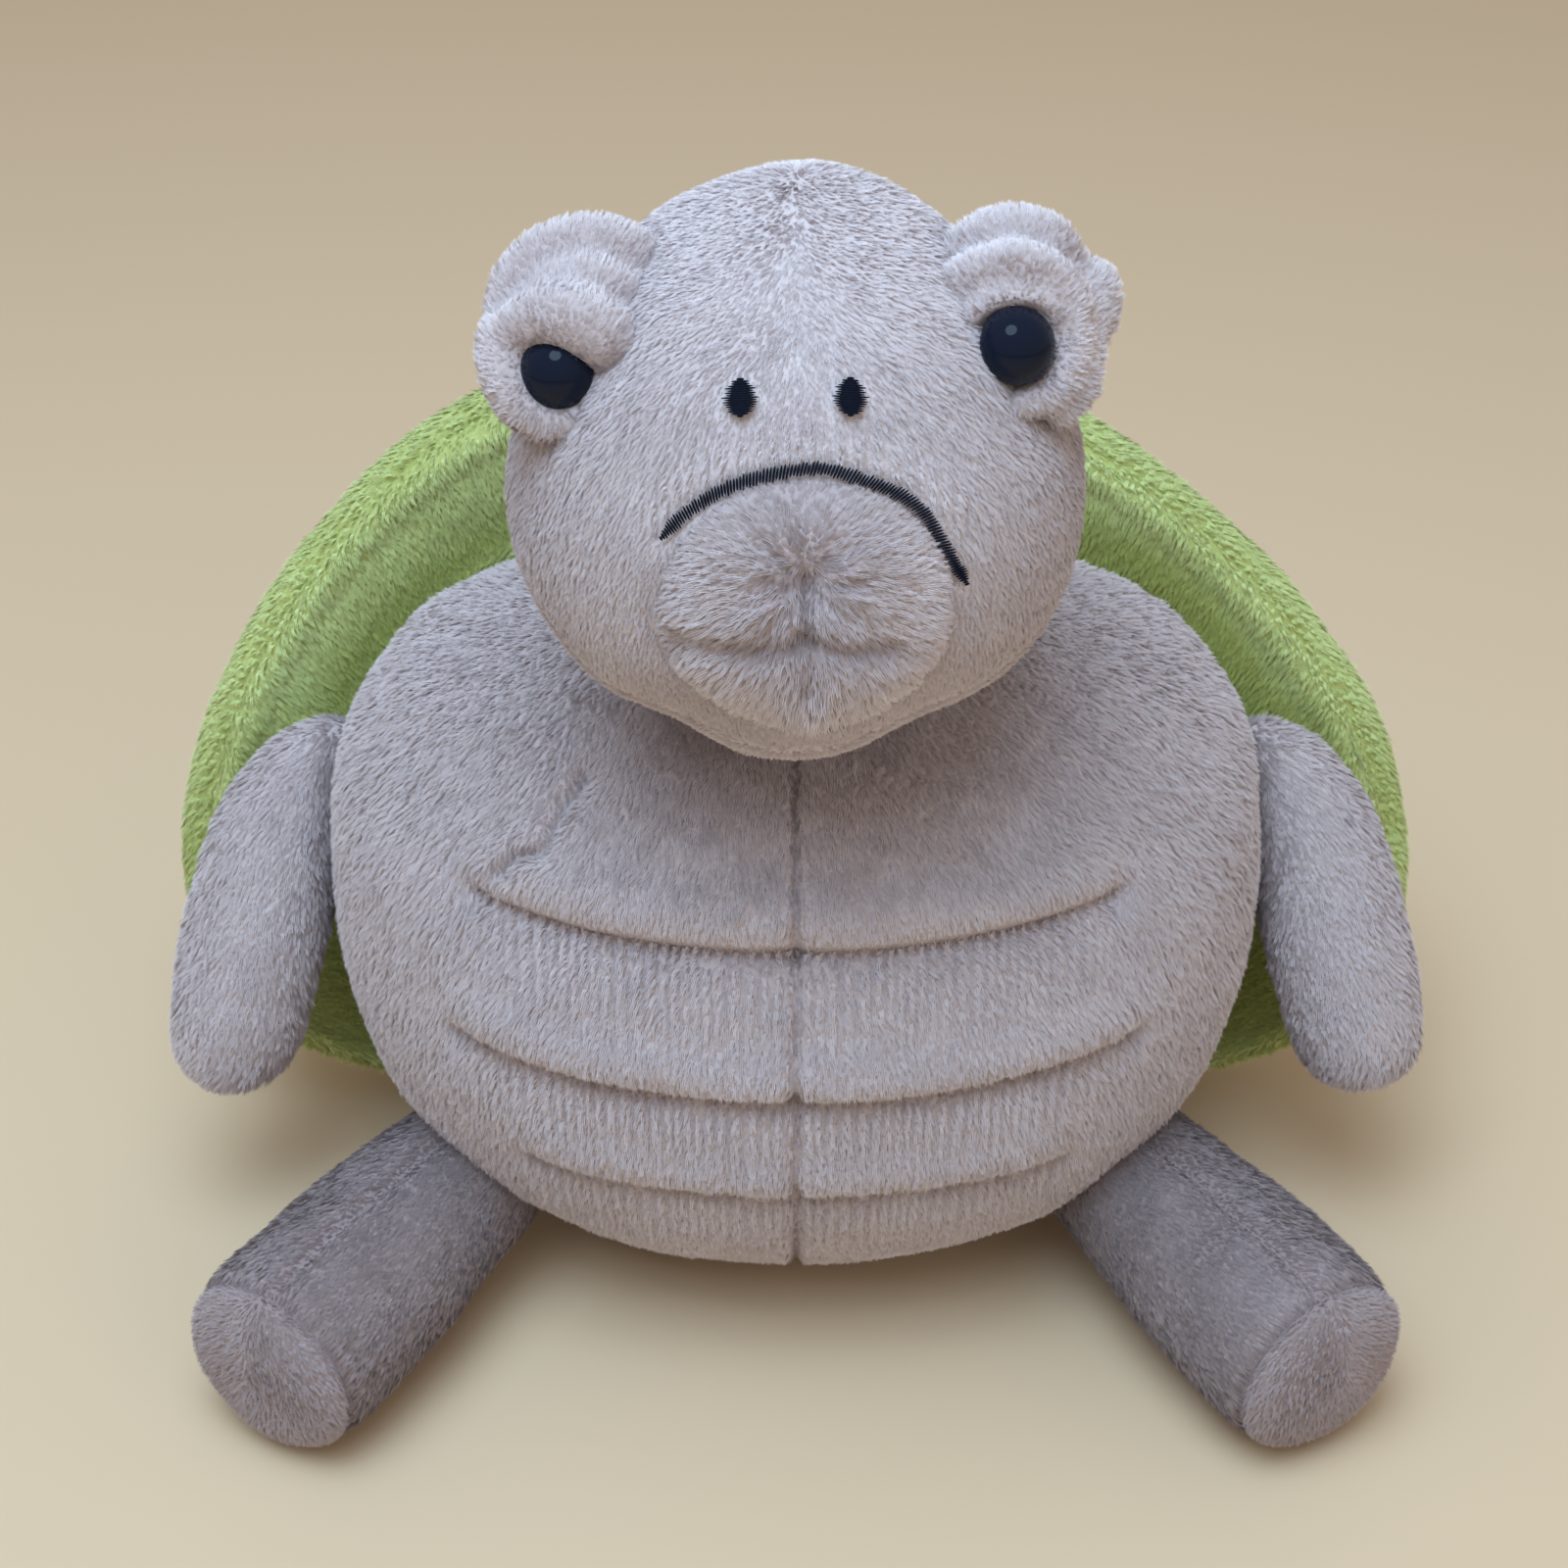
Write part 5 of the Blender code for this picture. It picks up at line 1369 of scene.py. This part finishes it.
class TURTLE_OT_arms(bpy.types.Operator):
    """Makes both arms, which hang from under the brim"""
    bl_idname = "turtle.arms"
    bl_label = "Arms"

    def execute(self, context):
        for side, word in SIDES:
            course = smooth_path(arm_course(side), 90)
            rings = tube_rings(course[:, :3], course[:, 3], sides=64)
            tip = course[-1, :3] + unit(course[-1, :3] - course[-2, :3]) * 0.0012
            skin = closed_skin("arm_skin_" + word, rings, course[0, :3], tip)
            points = read(skin)
            press(skin, SKIN_INSET - 0.0006 * ripple(points, 0.014, 20 + side))
            points = read(skin)
            nearest = np.argmin(np.linalg.norm(points[:, None] - course[None, ::3, :3], axis=2), axis=1) * 3
            ahead = unit(np.gradient(course[:, :3], axis=0))[nearest]
            tipward = ease(nearest / 90, 0.80, 0.97)
            swirl = np.cross(ahead, read(skin, "normal")) * 0.9 * tipward[:, None]
            lift = 28 + 7 * ripple(points, 0.007, 22) + 12 * tipward
            tint = 0.69 + 0.08 * ripple(points, 0.012, 23)
            # Painted contact shade where the arm lies close to the body
            tint -= 0.5 * ease(0.006 - depth_in(points, "body_skin")[1], 0, 0.005)
            comb(skin, ahead + swirl, lift, tint)
            dress(context, skin, "arm_" + word,
                  ["arm_front_" + word, "arm_back_" + word, "arm_stuffing_" + word])
            grow_pile(context, "arm_pile_" + word, skin, None, "arm_" + word, 60 + side)
        return {"FINISHED"}


class TURTLE_OT_legs(bpy.types.Operator):
    """Makes both legs, each with a seam along its top and a round sole"""
    bl_idname = "turtle.legs"
    bl_label = "Legs"

    def execute(self, context):
        for side, word in SIDES:
            hip = np.array((side * HIP_PLACE.x, HIP_PLACE.y, HIP_PLACE.z))
            axis = leg_axis(side)
            profile = arc(HIP_RADIUS, 5, 90, 8) + [(LEG_LENGTH * a, LEG_RADIUS * r) for a, r in LEG_TABLE]
            profile.append((LEG_LENGTH * 0.998, LEG_RADIUS * 0.2))
            course = smooth_path([(height, radius, 0) for height, radius in profile], 96)
            level = unit(np.cross(axis, (0, 0, 1)))
            up = np.cross(level, axis)
            angles = np.linspace(0, math.tau, 110, endpoint=False)[:, None]
            round_up = level * np.cos(angles) + up * (np.sin(angles) + 1)
            rings = np.array([hip + axis * h + round_up * r * LEG_PADDING - up * r for h, r, _ in course])
            skin = closed_skin("leg_skin_" + word, rings, hip - axis * HIP_RADIUS, hip + axis * LEG_LENGTH)
            points = read(skin)
            away = points - hip
            along = away @ axis / LEG_LENGTH
            sideways, rise = away @ level, away @ up
            off_seam = sideways - side * 0.002
            top_seam = bell(off_seam, 0.0013) * (rise > 0) * ease(along, 0.1, 0.2) * (along < 0.88)
            sole_seam = bell((along - SOLE_SEAM) * LEG_LENGTH, 0.0011)
            press(skin, SKIN_INSET * 0.2 + LEG_SEAM_DEPTH * top_seam + SOLE_SEAM_DEPTH * sole_seam
                  - 0.0007 * ripple(points, 0.016, 30 + side))
            points = settle(skin, SKIN_GAP)
            sole = along > SOLE_SEAM
            radial = points - hip - (away @ axis)[:, None] * axis
            parted = np.sign(off_seam) * 0.5 * bell(off_seam, 0.003) * (rise > 0)
            flow = np.where(sole[:, None], unit(radial) * 0.7 + np.array((0, 0, -0.8)),
                            axis + level * parted[:, None])
            # Painted shade: legs and soles get a far darker tone than the body, for the shade they sit in
            tint = np.where(sole, 0.20, 0.18) + 0.08 * ripple(points, 0.014, 33)
            tint = tint - 0.45 * top_seam - 0.4 * sole_seam
            height = np.where(sole, 0.75, 1.0) * (1 - 0.45 * top_seam - 0.5 * sole_seam)
            comb(skin, flow, np.where(sole, 40, 24) + 6 * ripple(points, 0.007, 34), tint, height)
            dress(context, skin, "leg_" + word,
                  ["leg_cover_" + word, "leg_sole_" + word, "leg_stuffing_" + word], "leg_cloth")
            on_sole = (face_middles(skin) - hip) @ axis / LEG_LENGTH > SOLE_SEAM
            for name, chosen, seed, slot in (("leg_pile_", ~on_sole, 70, "plush"),
                                             ("sole_pile_", on_sole, 74, "sole_plush")):
                grow_pile(context, name + word, skin, chosen, "leg_" + word, seed + side, dense=1.15,
                          disorder=0.7)
        return {"FINISHED"}


class TURTLE_OT_stage(bpy.types.Operator):
    """Lays the floor, hangs the soft lights and sets the photograph's camera"""
    bl_idname = "turtle.stage"
    bl_label = "Stage"

    def execute(self, context):
        stage = context.scene.turtle_stage
        work = bmesh.new()
        bmesh.ops.create_circle(work, cap_ends=True, segments=96, radius=7.0)
        mesh = bpy.data.meshes.new("floor")
        work.to_mesh(mesh)
        work.free()
        floor = link("floor", mesh)
        made, tree, shader = material("pale floor")
        tree.feed(shader, {"Base Color": (*stage.floor, 1), "Roughness": 0.75, "Specular IOR Level": 0.15})
        floor.data.materials.append(made)

        world = bpy.data.worlds.new("room")
        context.scene.world = world
        world.use_nodes = True
        room = Tree(world.node_tree)
        sky = world.node_tree.nodes["Background"]
        room.feed(sky, {"Color": (1.0, 0.94, 0.86, 1.0), "Strength": stage.sky})
        wall = room.node("ShaderNodeBackground", None, {"Color": (0.56, 0.46, 0.34, 1.0)})[0]
        seen = room.node("ShaderNodeLightPath")["Is Camera Ray"]
        shown = room.node("ShaderNodeMixShader", None, {0: seen, 1: Wire(room, sky.outputs[0]), 2: wall})[0]
        room.feed(world.node_tree.nodes["World Output"], {"Surface": shown})
        for name, place, size, power, colour in (
                ("key", (-0.18, -0.42, 1.20), 1.1, stage.key, (0.52, 0.76, 1.0)),
                ("glint", (-0.173, -0.404, 1.16), 0.55, stage.key * 0.26, (0.60, 0.82, 1.0)),
                ("fill", (0.7, -1.1, 0.7), 0.9, stage.fill, (1.0, 0.93, 0.84))):
            lamp = bpy.data.lights.new(name, "AREA")
            lamp.shape = "DISK"
            lamp.size = size
            lamp.energy = power
            lamp.color = colour
            item = bpy.data.objects.new(name, lamp)
            item.location = place
            item.visible_glossy = name == "glint"
            aim = LOOK_AT - Vector(place)
            item.rotation_euler = aim.to_track_quat("-Z", "Y").to_euler()
            context.scene.collection.objects.link(item)

        lens = bpy.data.cameras.new("camera")
        lens.sensor_width = SENSOR
        lens.lens = FOCAL_PIXELS / PICTURE * SENSOR
        lens.shift_x = (PICTURE / 2 - MIDDLE_PIXEL.x) / PICTURE
        lens.clip_start = 0.01
        camera = bpy.data.objects.new("camera", lens)
        camera.location = VIEW_FROM
        camera.rotation_euler = (math.pi / 2 - PITCH, 0, 0)
        context.scene.collection.objects.link(camera)
        context.scene.camera = camera
        context.scene.view_settings.view_transform = "Standard"
        return {"FINISHED"}


class TURTLE_PT_panel(bpy.types.Panel):
    """Lists the settings and the steps of the plush turtle"""
    bl_idname = "TURTLE_PT_panel"
    bl_label = "Plush Turtle"
    bl_space_type = "VIEW_3D"
    bl_region_type = "UI"
    bl_category = "Turtle"

    def draw(self, context):
        for title, group in GROUPS:
            box = self.layout.box()
            box.label(text=title.replace("turtle_", "").title())
            settings = getattr(context.scene, title)
            for key in group.__annotations__:
                box.prop(settings, key)
        for step in STEPS:
            self.layout.operator(step.bl_idname)


GROUPS = (("turtle_plush", TURTLE_PG_plush), ("turtle_shell", TURTLE_PG_shell),
          ("turtle_face", TURTLE_PG_face), ("turtle_stage", TURTLE_PG_stage))
STEPS = (TURTLE_OT_stage, TURTLE_OT_body, TURTLE_OT_shell, TURTLE_OT_neck, TURTLE_OT_head, TURTLE_OT_chin,
         TURTLE_OT_pouches, TURTLE_OT_face_pile, TURTLE_OT_eyes, TURTLE_OT_stitches, TURTLE_OT_arms,
         TURTLE_OT_legs)


def register():
    for title, group in GROUPS:
        bpy.utils.register_class(group)
        setattr(bpy.types.Scene, title, PointerProperty(type=group))
    for step in (*STEPS, TURTLE_PT_panel):
        bpy.utils.register_class(step)


def unregister():
    for step in (*STEPS, TURTLE_PT_panel):
        bpy.utils.unregister_class(step)
    for title, group in GROUPS:
        delattr(bpy.types.Scene, title)
        bpy.utils.unregister_class(group)


def main():
    register()
    for step in STEPS:
        family, name = step.bl_idname.split(".")
        getattr(getattr(bpy.ops, family), name)()


if __name__ == "__main__":
    main()
